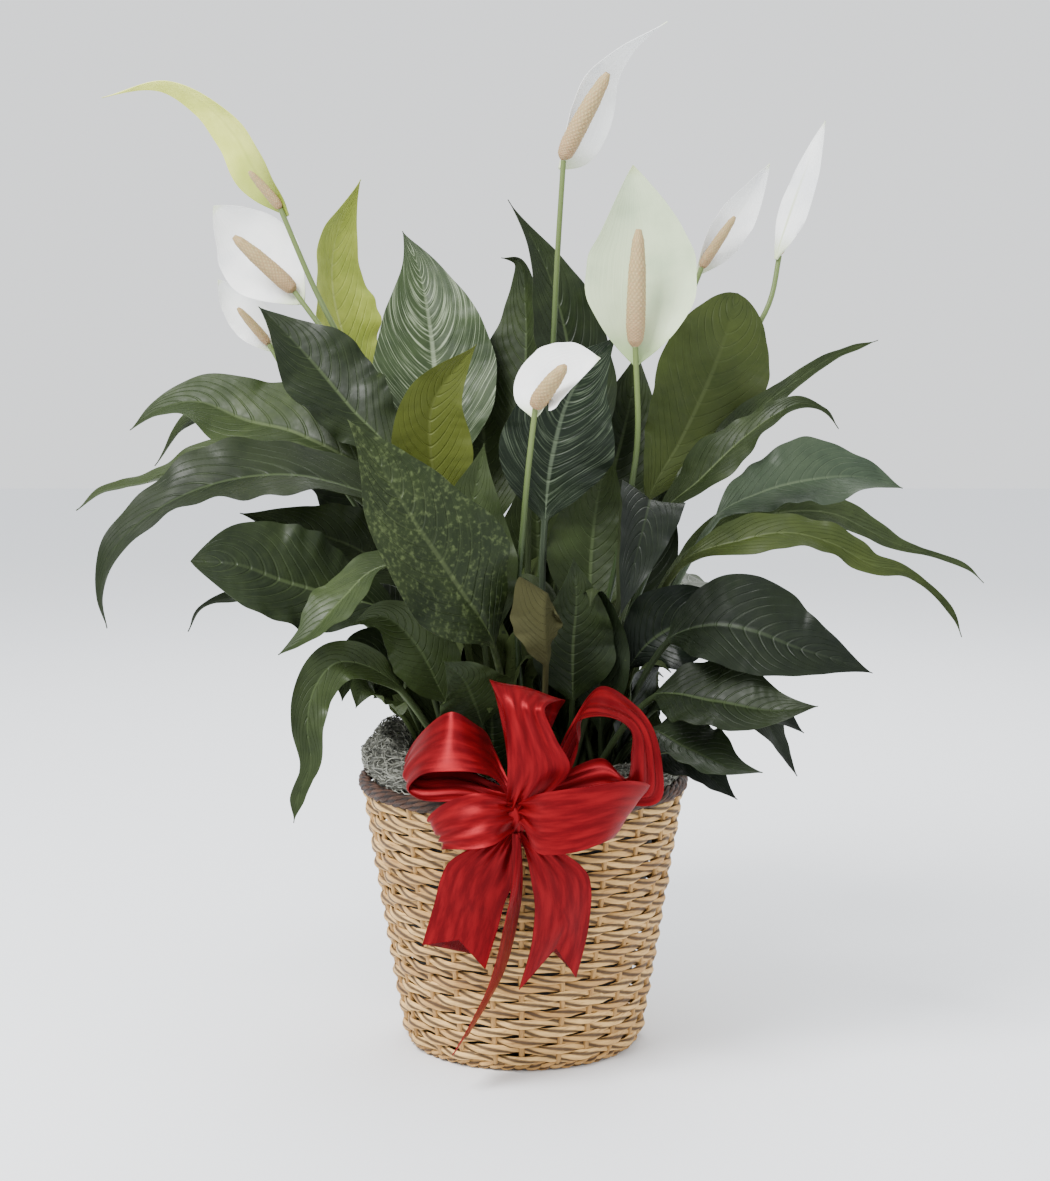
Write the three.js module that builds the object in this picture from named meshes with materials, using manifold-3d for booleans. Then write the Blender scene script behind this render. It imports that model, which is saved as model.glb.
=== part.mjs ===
// A peace lily in a wicker basket, in millimetres, +Z up. The origin is the centre of the basket's
// underside, on the surface that it stands on. -Y is the front, where the bow is tied, +X its right.
import * as THREE from 'three';
import Module from 'manifold-3d';
import { mergeVertices } from 'three/addons/utils/BufferGeometryUtils.js';

const wasm = await Module();
wasm.setup();

// ---------------------------------------------------------------- driving dimensions
const GAP = 0.3; // between pieces that touch

const BASKET_H = 193; // to the top of the rim
const BASKET_BASE_R = 84; // outer radius at the floor
const BASKET_RIM_R = 115; // outer radius under the rim
const BASKET_WALL = 5;
const BASKET_FLOOR = 7;
const FOOT_ROUND = { height: 12, inset: 5 }; // the wall rolls in at the foot
const FOOT_RING = 4; // height of the middle of the plait round the foot
const STAKES = 24; // upright stakes that the rows weave round
const WEAVE_ROWS = 27;
const WEAVE_DEPTH = 1.9; // how far a row stands out before one stake and in behind the next
const WEAVE_FROM = 9.5; // height of the middle of the lowest row
const WEAVE_TO = BASKET_H - 14.4; // and of the highest

const RIM_H = 11;
const RIM_DEPTH = 9;
const RIM_STRANDS = 14; // turns of the rolled border round the basket
const RIM_SIDES = 6;
const RIM_MID_R = BASKET_RIM_R - BASKET_WALL / 2;

const POT_H = 172;
const POT_TOP_R = 99;
const POT_BASE_R = 72;
const POT_WALL = 1.8;
const POT_LIP = 4;

const SOIL_BELOW_LIP = 9;
const STEM_DEPTH = 11; // how far a stem stands in the soil
const STEM_R = 2.4;
const HOLE_CLEAR = 0.9; // round a stem in the soil
const SHEATH_R = 1.8; // from the middle of a crown to the middles of its stems

const MOSS_INNER_R = 78;
const MOSS_OUTER_R = 114;
const MOSS_TOP = 209;
const MOSS_LEFT_RISE = 14; // it is heaped higher at the left

const BLADE = 0.9; // thickness of a leaf or spathe
const RIB = 1.2; // extra thickness of the midrib at the base of a blade
const TIP_HALF = 0.8;

const RIBBON_THICK = 1.2;
const KNOT = new THREE.Vector3(-5, -136, 190);
const KNOT_R = 11;
const TIE_R = 4; // the wire that holds the bow to the rim

const POT_FLOOR_Z = BASKET_FLOOR + GAP;
const POT_RIM_Z = POT_FLOOR_Z + POT_H;
const SOIL_Z = POT_RIM_Z - SOIL_BELOW_LIP;
const ROOT_Z = SOIL_Z - STEM_DEPTH;

// ---------------------------------------------------------------- materials
const MATERIALS = {
  wicker: { color: 0xb98d5e, roughness: 0.75 },
  rim: { color: 0x5a3b26, roughness: 0.7 },
  pot: { color: 0x2c2d2b, roughness: 0.5 },
  soil: { color: 0x33251b, roughness: 0.95 },
  moss: { color: 0x7e8476, roughness: 0.95 },
  ribbon: { color: 0xb8141c, roughness: 0.3 },
  leaf: { color: 0x2c4227, roughness: 0.38 },
  pale_leaf: { color: 0x7c8f3c, roughness: 0.45 },
  stalk: { color: 0x5f7a3c, roughness: 0.5 },
  spathe: { color: 0xe9ebe2, roughness: 0.5 },
  green_spathe: { color: 0xb9c46a, roughness: 0.5 },
  spadix: { color: 0xcdb592, roughness: 0.7 },
};

// ---------------------------------------------------------------- geometry helpers
function vec([x, y, z]) {
  return new THREE.Vector3(x, y, z);
}

function mix(a, b, t) {
  return a + (b - a) * t;
}

function smooth(t) {
  const c = Math.min(Math.max(t, 0), 1);
  return c * c * (3 - 2 * c);
}

function signedVolume(positions, index) {
  const p = (i) => new THREE.Vector3().fromArray(positions, i * 3);
  let volume = 0;
  for (let i = 0; i < index.length; i += 3) {
    volume += p(index[i]).dot(p(index[i + 1]).cross(p(index[i + 2]))) / 6;
  }
  return volume;
}

// The second half of a blade's ring runs back under the first, so its squares are split the other
// way, and both faces fold alike.
const foldAlike = (i, k, n) => k < n / 2;
// In the weave the squares are split from hollow to hollow.
const betweenHollows = (i, k) => (i + k) % 2 === 1;

// A skin through rings of equally many points, with a fan over each end, or closed on itself.
function loft(rings, { closed = false, split = foldAlike } = {}) {
  const n = rings[0].length;
  const points = rings.flat();
  const index = [];
  const spans = closed ? rings.length : rings.length - 1;
  for (let i = 0; i < spans; i++) {
    const a = i * n;
    const b = ((i + 1) % rings.length) * n;
    for (let k = 0; k < n; k++) {
      const m = (k + 1) % n;
      if (split(i, k, n)) {
        index.push(a + k, b + k, b + m, a + k, b + m, a + m);
      } else {
        index.push(a + k, b + k, a + m, b + k, b + m, a + m);
      }
    }
  }
  if (!closed) {
    for (const [ring, start, turn] of [[rings[0], 0, 1], [rings.at(-1), points.length - n, -1]]) {
      const centre = new THREE.Vector3();
      ring.forEach((p) => centre.addScaledVector(p, 1 / n));
      const hub = points.push(centre) - 1;
      for (let k = 0; k < n; k++) {
        const edge = [start + k, start + ((k + 1) % n)];
        index.push(hub, ...(turn > 0 ? edge : edge.reverse()));
      }
    }
  }
  const positions = points.flatMap((p) => p.toArray());
  if (signedVolume(positions, index) < 0) index.reverse();
  const geometry = new THREE.BufferGeometry();
  geometry.setAttribute('position', new THREE.Float32BufferAttribute(positions, 3));
  geometry.setIndex(index);
  return geometry;
}

function toManifold(geometry) {
  const bare = geometry.clone();
  bare.deleteAttribute('normal');
  bare.deleteAttribute('uv');
  const merged = mergeVertices(bare, 1e-4);
  return new wasm.Manifold(new wasm.Mesh({
    numProp: 3,
    vertProperties: Float32Array.from(merged.attributes.position.array),
    triVerts: Uint32Array.from(merged.index.array),
  }));
}

function fromManifold(manifold) {
  const { vertProperties, triVerts } = manifold.getMesh();
  const geometry = new THREE.BufferGeometry();
  geometry.setAttribute('position', new THREE.Float32BufferAttribute(vertProperties, 3));
  geometry.setIndex(Array.from(triVerts));
  return geometry;
}

// Joins solids into one body; shavings where two skins only just meet are left out.
function fuse(geometries) {
  const bodies = geometries.map(toManifold).reduce((a, b) => a.add(b)).decompose();
  return fromManifold(bodies.reduce((a, b) => (a.volume() > b.volume() ? a : b)));
}

// A circle of n points whose radius may change with the angle.
function circle(radius, z, n) {
  return Array.from({ length: n }, (_, k) => {
    const angle = (2 * Math.PI * k) / n;
    const r = typeof radius === 'function' ? radius(angle, k) : radius;
    return new THREE.Vector3(r * Math.cos(angle), r * Math.sin(angle), z);
  });
}

// ---------------------------------------------------------------- basket, pot, soil, moss
function wallRadius(z) {
  const straight = mix(BASKET_BASE_R, BASKET_RIM_R, z / BASKET_H);
  const roll = Math.max(0, 1 - z / FOOT_ROUND.height);
  return straight - FOOT_ROUND.inset * roll * roll;
}

// The wall and floor, woven in one; each row passes before one stake and behind the next.
function wovenBasket() {
  const top = BASKET_H - RIM_H - GAP;
  const rings = [circle(wallRadius(0), 0, STAKES), circle(wallRadius(FOOT_RING), FOOT_RING, STAKES)];
  for (let row = 0; row < WEAVE_ROWS; row++) {
    const z = mix(WEAVE_FROM, WEAVE_TO, row / (WEAVE_ROWS - 1));
    const weave = (_, k) => wallRadius(z) + WEAVE_DEPTH * ((k + row) % 2 ? -1 : 1);
    rings.push(circle(weave, z, STAKES));
  }
  rings.push(circle(wallRadius(top), top, STAKES));
  rings.push(circle(wallRadius(top) - BASKET_WALL, top, STAKES));
  rings.push(circle(wallRadius(BASKET_FLOOR) - BASKET_WALL, BASKET_FLOOR, STAKES));
  return loft(rings, { split: betweenHollows });
}

// The rolled border: an oval section that turns like a rope as it goes round the basket.
function basketRim() {
  const stations = 42;
  const centreZ = BASKET_H - RIM_H / 2;
  const rings = Array.from({ length: stations }, (_, i) => {
    const round = (2 * Math.PI * i) / stations;
    return Array.from({ length: RIM_SIDES }, (_, k) => {
      const turn = (2 * Math.PI * (k + 0.5)) / RIM_SIDES;
      const bulge = 1 - 0.12 * (1 + Math.cos(2 * turn + RIM_STRANDS * round)) / 2;
      const r = RIM_MID_R + (RIM_DEPTH / 2) * bulge * Math.cos(turn);
      const z = centreZ + (RIM_H / 2) * bulge * Math.sin(turn);
      return new THREE.Vector3(r * Math.cos(round), r * Math.sin(round), z);
    });
  });
  return loft(rings, { closed: true });
}

function growPot() {
  const n = 20;
  return loft([
    circle(POT_BASE_R, POT_FLOOR_Z, n),
    circle(POT_TOP_R - POT_LIP, POT_RIM_Z - 14, n),
    circle(POT_TOP_R, POT_RIM_Z - 12, n),
    circle(POT_TOP_R, POT_RIM_Z, n),
    circle(POT_TOP_R - POT_WALL, POT_RIM_Z, n),
    circle(POT_TOP_R - POT_LIP - POT_WALL, POT_RIM_Z - 13, n),
    circle(POT_BASE_R - POT_WALL, POT_FLOOR_Z + POT_WALL, n),
  ]);
}

function soilBody(roots) {
  const n = 20;
  const clear = POT_WALL + GAP + 0.4;
  let soil = toManifold(loft([
    circle(POT_BASE_R - clear, POT_FLOOR_Z + POT_WALL + GAP, n),
    circle(POT_TOP_R - POT_LIP - clear, POT_RIM_Z - 14, n),
    circle(POT_TOP_R - POT_LIP - clear, SOIL_Z, n),
  ]));
  for (const { root, r } of roots) {
    const hole = new THREE.CylinderGeometry(r, r, 2 * STEM_DEPTH + 2 * GAP, 5);
    hole.rotateX(Math.PI / 2);
    hole.translate(root[0], root[1], SOIL_Z);
    soil = soil.subtract(toManifold(hole));
  }
  return fromManifold(soil);
}

// A heaped collar between the stems and the rim, resting on the pot's lip and over the border.
function mossCollar() {
  const stations = 24;
  const overRim = BASKET_H + GAP;
  const insideRim = RIM_MID_R - RIM_DEPTH / 2 - 0.8;
  const rings = Array.from({ length: stations }, (_, i) => {
    const round = (2 * Math.PI * i) / stations;
    const left = Math.max(0, -Math.cos(round)) ** 2;
    const lump = 2.6 * Math.sin(5 * round + 0.7) + 2.2 * Math.sin(9 * round + 2.1);
    const top = MOSS_TOP + MOSS_LEFT_RISE * left + lump;
    const outer = MOSS_OUTER_R + 1.5 * Math.sin(7 * round);
    const section = [
      [MOSS_INNER_R + 2, POT_RIM_Z + 0.4],
      [insideRim - 4, POT_RIM_Z + 0.4],
      [insideRim, overRim],
      [outer - 2, overRim + 0.4],
      [outer, mix(overRim, top, 0.5)],
      [outer - 12, top],
      [MOSS_INNER_R + 6, mix(overRim, top, 0.6)],
      [MOSS_INNER_R, mix(POT_RIM_Z, top, 0.3)],
    ];
    return section.map(([r, z]) => new THREE.Vector3(r * Math.cos(round), r * Math.sin(round), z));
  });
  return loft(rings, { closed: true });
}

// ---------------------------------------------------------------- blades
// Frames along a curve: the face direction is given at one station and carried along from there.
function framesAlong(curve, stations, anchor, face, twist) {
  const frames = stations.map((u) => ({ p: curve.getPointAt(u), t: curve.getTangentAt(u) }));
  const settle = (n, t) => n.clone().addScaledVector(t, -n.dot(t)).normalize();
  frames[anchor].n = settle(vec(face), frames[anchor].t);
  for (let i = anchor + 1; i < frames.length; i++) {
    frames[i].n = settle(frames[i - 1].n, frames[i].t);
  }
  for (let i = anchor - 1; i >= 0; i--) {
    frames[i].n = settle(frames[i + 1].n, frames[i].t);
  }
  frames.forEach((f, i) => {
    const turn = twist * (stations[i] - stations[anchor]);
    f.n.applyAxisAngle(f.t, THREE.MathUtils.degToRad(turn));
    f.s = new THREE.Vector3().crossVectors(f.t, f.n);
  });
  return frames;
}

// Share of the full half width at v, from the base (0) to the tip (1) of a blade.
function outline(v, peak, taper) {
  if (v < peak) return Math.sin((Math.PI / 2) * (v / peak)) ** 0.9;
  return Math.max(0, Math.cos((Math.PI / 2) * ((v - peak) / (1 - peak)))) ** taper;
}

// Half the width at v; a long thin drip tip keeps its tail's half width nearly to its end.
function halfWidth(v, { width, peak, taper, tail }) {
  const least = v < peak ? 0 : tail * (1 - smooth((v - 0.9) / 0.1));
  return Math.max((width / 2) * outline(v, peak, taper), least);
}

function wavy(v, k, blade) {
  const side = k < 0 ? 0 : 1.9;
  const fade = Math.sin(Math.PI * Math.min(1, 0.08 + v)) ** 0.6;
  return blade.wave * Math.sin(2 * Math.PI * blade.waves * v + blade.phase + side) * fade * k * k;
}

// One ring of a blade: its upper face from edge to edge, then its lower face back again.
function bladeRing(frame, v, blade, across) {
  const half = halfWidth(v, blade);
  const stem = blade.stem * (1 - v);
  const reach = Math.max(TIP_HALF, Math.hypot(half, stem));
  const flat = smooth(v / 0.14);
  const fold = Math.tan(THREE.MathUtils.degToRad(blade.fold)) * flat;
  const share = half / (blade.width / 2);
  const upper = [];
  const lower = [];
  for (const k of across) {
    const lift = reach * (fold * Math.abs(k) + blade.cup * k * k * flat) + wavy(v, k, blade) * share;
    const round = 2 * blade.stem * Math.sqrt(1 - 0.8 * k * k);
    const rib = RIB * (1 - v) * (1 - Math.abs(k));
    const thick = mix(round, BLADE, flat);
    const at = frame.p.clone().addScaledVector(frame.s, k * reach);
    upper.push(at.clone().addScaledVector(frame.n, lift + thick / 2));
    lower.unshift(at.clone().addScaledVector(frame.n, lift - thick / 2 - rib * flat));
  }
  return [...upper, ...lower];
}

const LEAF = {
  width: 60, peak: 0.38, taper: 1.25, tail: 0, fold: 12, cup: 0.1, twist: 0,
  wave: 4, waves: 2.2, phase: 0, stem: 2.2, steps: 8, across: [-1, -0.5, 0, 0.5, 1],
};
const NARROW = { steps: 9, across: [-1, 0, 1] };
const SMALL = { steps: 6, across: [-1, 0, 1], stem: 1.9, wave: 4 };
const STEM_STEPS = 2; // between the soil and the blade

// Share of a curve's length at which it passes its control point i.
function shareAt(curve, i) {
  const divisions = 60 * (curve.points.length - 1);
  const lengths = curve.getLengths(divisions);
  return lengths[60 * i] / lengths.at(-1);
}

// Stations that stay upright through the soil, then part the stem into equal lengths.
function stemStations(curve, end, steps) {
  const foot = shareAt(curve, 1);
  return [0, ...Array.from({ length: steps }, (_, i) => mix(foot, end, i / steps))];
}

// A whole leaf in one skin: a round stem in the soil that flattens into the blade.
function leaf(spec) {
  const blade = { ...LEAF, ...spec };
  const [x, y] = blade.root;
  const spine = [[x, y, ROOT_Z], [x, y, SOIL_Z + 4], ...blade.points].map(vec);
  const curve = new THREE.CatmullRomCurve3(spine, false, 'centripetal');
  const neck = shareAt(curve, 2);
  const stations = stemStations(curve, neck, STEM_STEPS);
  const anchor = stations.length + Math.round(blade.peak * blade.steps);
  for (let i = 0; i <= blade.steps; i++) stations.push(mix(neck, 1, i / blade.steps));
  const frames = framesAlong(curve, stations, anchor, blade.face, blade.twist);
  const rings = frames.map((frame, i) => {
    const v = Math.max(0, (stations[i] - neck) / (1 - neck));
    return bladeRing(frame, v, blade, blade.across);
  });
  return loft(rings);
}

// Leaves that share a sheath at one crown.
function crown(root, leaves) {
  return fuse(leaves.map((spec, i) => {
    const spread = (2 * Math.PI * i) / leaves.length;
    const own = [root[0] + SHEATH_R * Math.cos(spread), root[1] + SHEATH_R * Math.sin(spread)];
    return leaf({ ...SMALL, ...spec, root: own });
  }));
}

// ---------------------------------------------------------------- leaves
// points run from the neck, where the stem ends, to the drip tip; face is where the upper side
// looks at the widest place.
const LEAVES = {
  // back row, tall
  leaf_back_left_of_centre: {
    root: [-16, 24], width: 90, face: [0.05, -1, 0.25], fold: 9, wave: 4, waves: 2.4, phase: 2.4,
    points: [[-57, 50, 398], [-63, 66, 461], [-69, 80, 512], [-77, 92, 550], [-89, 98, 577]],
  },
  leaf_back_far_left: {
    root: [-30, 33], width: 66, face: [0.8, -0.55, 0.15], wave: 4, phase: 0.6, pale: true, ...NARROW,
    points: [[-113, 84, 457], [-134, 96, 503], [-142, 104, 538], [-140, 111, 571], [-121, 118, 616]],
  },
  leaf_back_hooked: {
    root: [0, 31], width: 56, face: [-0.5, -0.8, 0.2], wave: 4, waves: 2, phase: 1.2, ...NARROW,
    points: [[4, 60, 404], [2, 74, 468], [2, 82, 519], [-3, 84, 554], [-16, 82, 557]],
  },
  leaf_back_right_of_centre: {
    root: [11, 20], width: 62, face: [0.4, -0.88, 0.2], taper: 1.7, waves: 2, phase: 3.4,
    points: [[31, 28, 398], [36, 38, 455], [28, 46, 511], [12, 50, 558], [-11, 54, 597]],
  },
  leaf_right_broad: {
    root: [27, 8], width: 80, face: [0.1, -0.97, 0.1], fold: 6, cup: 0.05, peak: 0.6, taper: 0.6, wave: 7,
    waves: 2.8, phase: 1, pale: true,
    points: [[88, 16, 384], [112, 28, 426], [132, 42, 466], [146, 56, 500], [156, 72, 531]],
  },
  // left side, from the top down
  leaf_left_upright: {
    root: [-29, 6], width: 64, face: [0.2, -0.9, 0.4], peak: 0.5, wave: 6, waves: 2.8, phase: 0.4,
    points: [[-85, 12, 406], [-123, 25, 450], [-151, 38, 482], [-173, 46, 505], [-190, 50, 521]],
  },
  leaf_left_upper: {
    root: [-40, 17], width: 76, face: [0, -0.75, 0.65], wave: 5, waves: 2.6, phase: 0.9, steps: 10,
    points: [[-100, 34, 388], [-160, 58, 428], [-204, 74, 439], [-240, 84, 452], [-270, 88, 446],
      [-291, 88, 431]],
  },
  leaf_left_flap: {
    root: [-42, 3], width: 50, face: [0, -0.35, 0.95], tail: 7, wave: 5, waves: 2.8, phase: 2, ...NARROW,
    points: [[-109, 4, 380], [-158, 8, 406], [-215, 14, 410], [-266, 18, 397], [-298, 18, 390],
      [-317, 16, 377]],
  },
  leaf_left_long: {
    root: [-41, -11], width: 60, face: [-0.1, -0.55, 0.8], wave: 5, waves: 2.6, phase: 4, steps: 9,
    points: [[-76, -12, 366], [-138, -38, 402], [-190, -50, 404], [-238, -60, 388],
      [-274, -66, 358], [-284, -68, 326], [-280, -70, 304]],
  },
  leaf_left_middle: {
    root: [-45, -23], width: 74, face: [-0.1, -0.8, 0.6], peak: 0.6, taper: 0.85, wave: 5,
    waves: 2.3, phase: 5,
    points: [[-85, -55, 308], [-130, -72, 327], [-161, -84, 338], [-188, -92, 349],
      [-219, -96, 352]],
  },
  leaf_left_pale: {
    root: [-33, -33], width: 36, face: [-0.6, -0.7, 0.4], peak: 0.6, phase: 2.2, ...SMALL,
    pale: true,
    points: [[-62, -84, 336], [-80, -98, 350], [-99, -114, 347], [-117, -130, 330],
      [-137, -138, 309], [-157, -140, 296]],
  },
  leaf_left_hanging: {
    root: [-35, -45], width: 28, face: [-0.5, -0.85, 0.1], tail: 5, wave: 4, waves: 2.6, phase: 3, twist: 70,
    ...NARROW,
    points: [[-81, -92, 265], [-104, -116, 286], [-122, -132, 289], [-134, -142, 274],
      [-138, -148, 252], [-136, -150, 228], [-144, -152, 206], [-147, -152, 189]],
  },
  // middle
  leaf_middle_olive: {
    root: [-10, -7], width: 56, face: [0.1, -0.95, 0.2], wave: 3, phase: 2, pale: true, ...NARROW,
    points: [[-55, -8, 372], [-64, -18, 421], [-61, -22, 456], [-32, -20, 494]],
  },
  leaf_middle_striped: {
    root: [12, -14], width: 78, face: [0.2, -0.95, 0.2], wave: 4, waves: 2, phase: 0.2,
    points: [[15, -12, 372], [21, -20, 422], [34, -24, 463], [64, -20, 500]],
  },
  leaf_front_tall: {
    root: [-6, -50], width: 86, face: [0.3, -0.85, 0.4], fold: 9, wave: 4, phase: 1.5,
    points: [[-20, -95, 296], [-45, -118, 342], [-73, -124, 385], [-98, -120, 426],
      [-113, -118, 446]],
  },
  leaf_front_small: {
    root: [11, -54], width: 46, face: [0, 0.95, 0.3], peak: 0.6, phase: 0.5, ...SMALL, pale: true,
    points: [[15, -98, 283], [14, -108, 304], [14, -107, 324], [16, -95, 330], [18, -82, 316]],
  },
  leaf_front_right: {
    root: [29, -34], width: 44, face: [0.1, -0.9, 0.4], peak: 0.5, wave: 4, phase: 2.6, ...NARROW,
    points: [[66, -44, 319], [84, -78, 391], [75, -118, 365], [62, -142, 321]],
  },
  // right side, from the top down
  leaf_right_slim: {
    root: [38, 18], width: 17, face: [-0.4, -0.75, 0.5], tail: 2.5, wave: 3, waves: 2.6, phase: 1.1,
    twist: 90, ...NARROW,
    points: [[103, 12, 388], [143, 20, 429], [172, 28, 452], [197, 34, 470], [223, 42, 486],
      [255, 50, 497]],
  },
  leaf_right_curled: {
    root: [37, -10], width: 34, face: [-0.35, -0.7, 0.6], taper: 1.8, tail: 1.8, wave: 5, phase: 3.1,
    points: [[92, -16, 371], [122, -28, 402], [148, -34, 428], [171, -38, 446], [188, -40, 454],
      [205, -42, 449], [214, -44, 437]],
  },
  leaf_right_upper: {
    root: [45, 4], width: 60, face: [0, -0.7, 0.7], peak: 0.5, wave: 5, phase: 0.7,
    points: [[138, 17, 372], [168, 20, 389], [204, 24, 398], [240, 26, 400], [271, 28, 392]],
  },
  leaf_right_long: {
    root: [48, 24], width: 38, face: [0, -0.85, 0.5], peak: 0.34, taper: 2.6, tail: 2.7, wave: 4, waves: 2.8,
    phase: 2.3, ...NARROW,
    points: [[113, 50, 338], [163, 72, 363], [196, 82, 371], [230, 88, 369], [256, 93, 357],
      [278, 96, 346], [312, 98, 336], [334, 99, 327], [346, 100, 316]],
  },
  leaf_right_twisted: {
    root: [52, -8], width: 30, face: [0, -0.75, 0.6], peak: 0.3, taper: 2, tail: 2.8, wave: 4, waves: 2.8,
    phase: 4.2, ...NARROW,
    points: [[107, -30, 341], [151, -46, 362], [180, -52, 367], [209, -55, 360], [235, -57, 346],
      [258, -58, 341], [278, -60, 327], [292, -61, 310], [297, -62, 297]],
  },
  leaf_right_low: {
    root: [47, -25], width: 68, face: [0.1, -0.9, 0.45], taper: 1.3, tail: 3, wave: 4, waves: 2.4, phase: 1.9,
    points: [[98, -64, 294], [126, -83, 308], [153, -92, 305], [180, -98, 295],
      [207, -102, 287], [230, -106, 279]],
  },
  leaf_right_lower: {
    root: [39, -38], width: 62, face: [0, -0.7, 0.7], wave: 4, phase: 0.2,
    points: [[88, -76, 258], [126, -104, 260], [164, -119, 256], [192, -124, 260]],
  },
};

// Leafy crowns: leaves that share a sheath, among them those of the middle and the back.
const CROWNS = {
  crown_left: {
    root: [-56, -8],
    leaves: [
      { width: 28, face: [0, -0.4, 0.9], taper: 2, tail: 2, phase: 1,
        points: [[-108, -20, 300], [-155, -30, 315], [-196, -36, 321], [-221, -40, 314],
          [-230, -42, 298]] },
      { width: 50, face: [-0.2, -0.8, 0.6], phase: 2,
        points: [[-84, -40, 256], [-104, -54, 278], [-120, -66, 274], [-122, -74, 255]] },
      { width: 40, face: [-0.3, -0.6, 0.75], phase: 3,
        points: [[-84, -46, 242], [-98, -62, 256], [-108, -76, 262], [-112, -84, 252]] },
      { width: 50, face: [0, -0.8, 0.6], phase: 6,
        points: [[-80, -6, 322], [-112, -12, 350], [-152, -18, 366], [-196, -22, 378]] },
    ],
  },
  crown_front: {
    root: [-20, -43],
    leaves: [
      { width: 48, face: [0, -0.8, 0.6], phase: 4,
        points: [[-52, -80, 256], [-72, -94, 298], [-92, -101, 316], [-113, -102, 311]] },
      { width: 60, face: [0.1, -1, 0.1], phase: 1,
        points: [[-26, -60, 290], [-34, -66, 340], [-34, -64, 384], [-26, -58, 428]] },
      { width: 56, face: [0.1, -0.9, 0.3], phase: 3,
        points: [[-28, -80, 240], [-34, -96, 262], [-40, -106, 276], [-52, -112, 288]] },
    ],
  },
  crown_right: {
    root: [56, -22],
    leaves: [
      { width: 36, face: [0.1, -0.5, 0.85], phase: 1,
        points: [[112, -18, 240], [146, -36, 246], [166, -43, 236], [178, -45, 216],
          [189, -46, 198]] },
      { width: 58, face: [0, -1, 0.2], phase: 2,
        points: [[74, -32, 272], [98, -37, 298], [126, -39, 305], [160, -38, 294]] },
      { width: 58, face: [0, -0.6, 0.8], phase: 0,
        points: [[92, -36, 244], [135, -50, 250], [173, -54, 242], [192, -56, 230]] },
      { width: 50, face: [0, -0.6, 0.8], phase: 5,
        points: [[84, -62, 232], [108, -100, 228], [137, -120, 218], [156, -128, 217]] },
      { width: 40, face: [0.1, -0.7, 0.7], phase: 3,
        points: [[76, -56, 224], [110, -82, 216], [143, -95, 192]] },
    ],
  },
  crown_back_left: {
    root: [-28, 47],
    leaves: [
      { width: 26, face: [0, -0.6, 0.8], phase: 1, steps: 5,
        points: [[-144, 96, 400], [-213, 108, 438], [-248, 112, 439], [-278, 116, 403]] },
      { width: 72, face: [-0.2, 0.5, 0.85], phase: 2, steps: 5,
        points: [[-60, 110, 330], [-80, 165, 380], [-92, 215, 375], [-100, 250, 340]] },
      { width: 62, face: [-0.5, 0.4, 0.8], phase: 4, steps: 5,
        points: [[-90, 85, 290], [-130, 125, 322], [-165, 155, 318], [-190, 175, 290]] },
      { width: 68, face: [0, -1, 0.2], phase: 0, steps: 5,
        points: [[-56, 90, 380], [-80, 98, 430], [-92, 98, 466], [-94, 96, 500]] },
      { width: 74, face: [0, -0.9, 0.4], phase: 3, steps: 5,
        points: [[-80, 100, 330], [-118, 120, 372], [-150, 128, 394], [-184, 128, 392]] },
      { width: 66, face: [0, -1, 0.2], phase: 5, steps: 5,
        points: [[-24, 76, 360], [-28, 88, 410], [-30, 94, 450], [-26, 98, 496]] },
      { width: 74, face: [0, -1, 0.1], phase: 2, steps: 5,
        points: [[-50, 70, 240], [-56, 78, 290], [-60, 82, 330], [-62, 84, 366]] },
    ],
  },
  crown_back_right: {
    root: [30, 47],
    leaves: [
      { width: 74, face: [0.2, 0.5, 0.85], phase: 1, steps: 5,
        points: [[50, 115, 340], [62, 170, 388], [72, 220, 380], [78, 256, 345]] },
      { width: 62, face: [0.5, 0.4, 0.8], phase: 3, steps: 5,
        points: [[90, 90, 285], [122, 132, 312], [150, 165, 302], [168, 190, 270]] },
      { width: 60, face: [0, 0.5, 0.85], phase: 5, steps: 5,
        points: [[4, 105, 270], [-10, 160, 305], [-18, 205, 292], [-22, 235, 258]] },
      { width: 66, face: [-0.1, -1, 0.1], phase: 0, steps: 5,
        points: [[52, 60, 360], [68, 66, 410], [78, 70, 452], [84, 74, 490]] },
      { width: 74, face: [0, -1, 0.1], phase: 4, steps: 5,
        points: [[14, 72, 262], [12, 74, 320], [10, 76, 372], [8, 76, 416]] },
      { width: 60, face: [0.2, -1, 0.1], phase: 2, steps: 5,
        points: [[66, 80, 262], [82, 88, 316], [96, 94, 364], [106, 98, 408]] },
    ],
  },
  crown_middle_right: {
    root: [34, -1],
    leaves: [
      { width: 62, face: [0, -1, 0.3], phase: 4,
        points: [[46, -12, 300], [48, -2, 350], [54, 6, 394], [64, 10, 424]] },
      { width: 56, face: [0.1, -1, 0.2], phase: 3,
        points: [[34, -40, 250], [34, -52, 290], [36, -60, 322], [34, -66, 352]] },
    ],
  },
};

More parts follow.
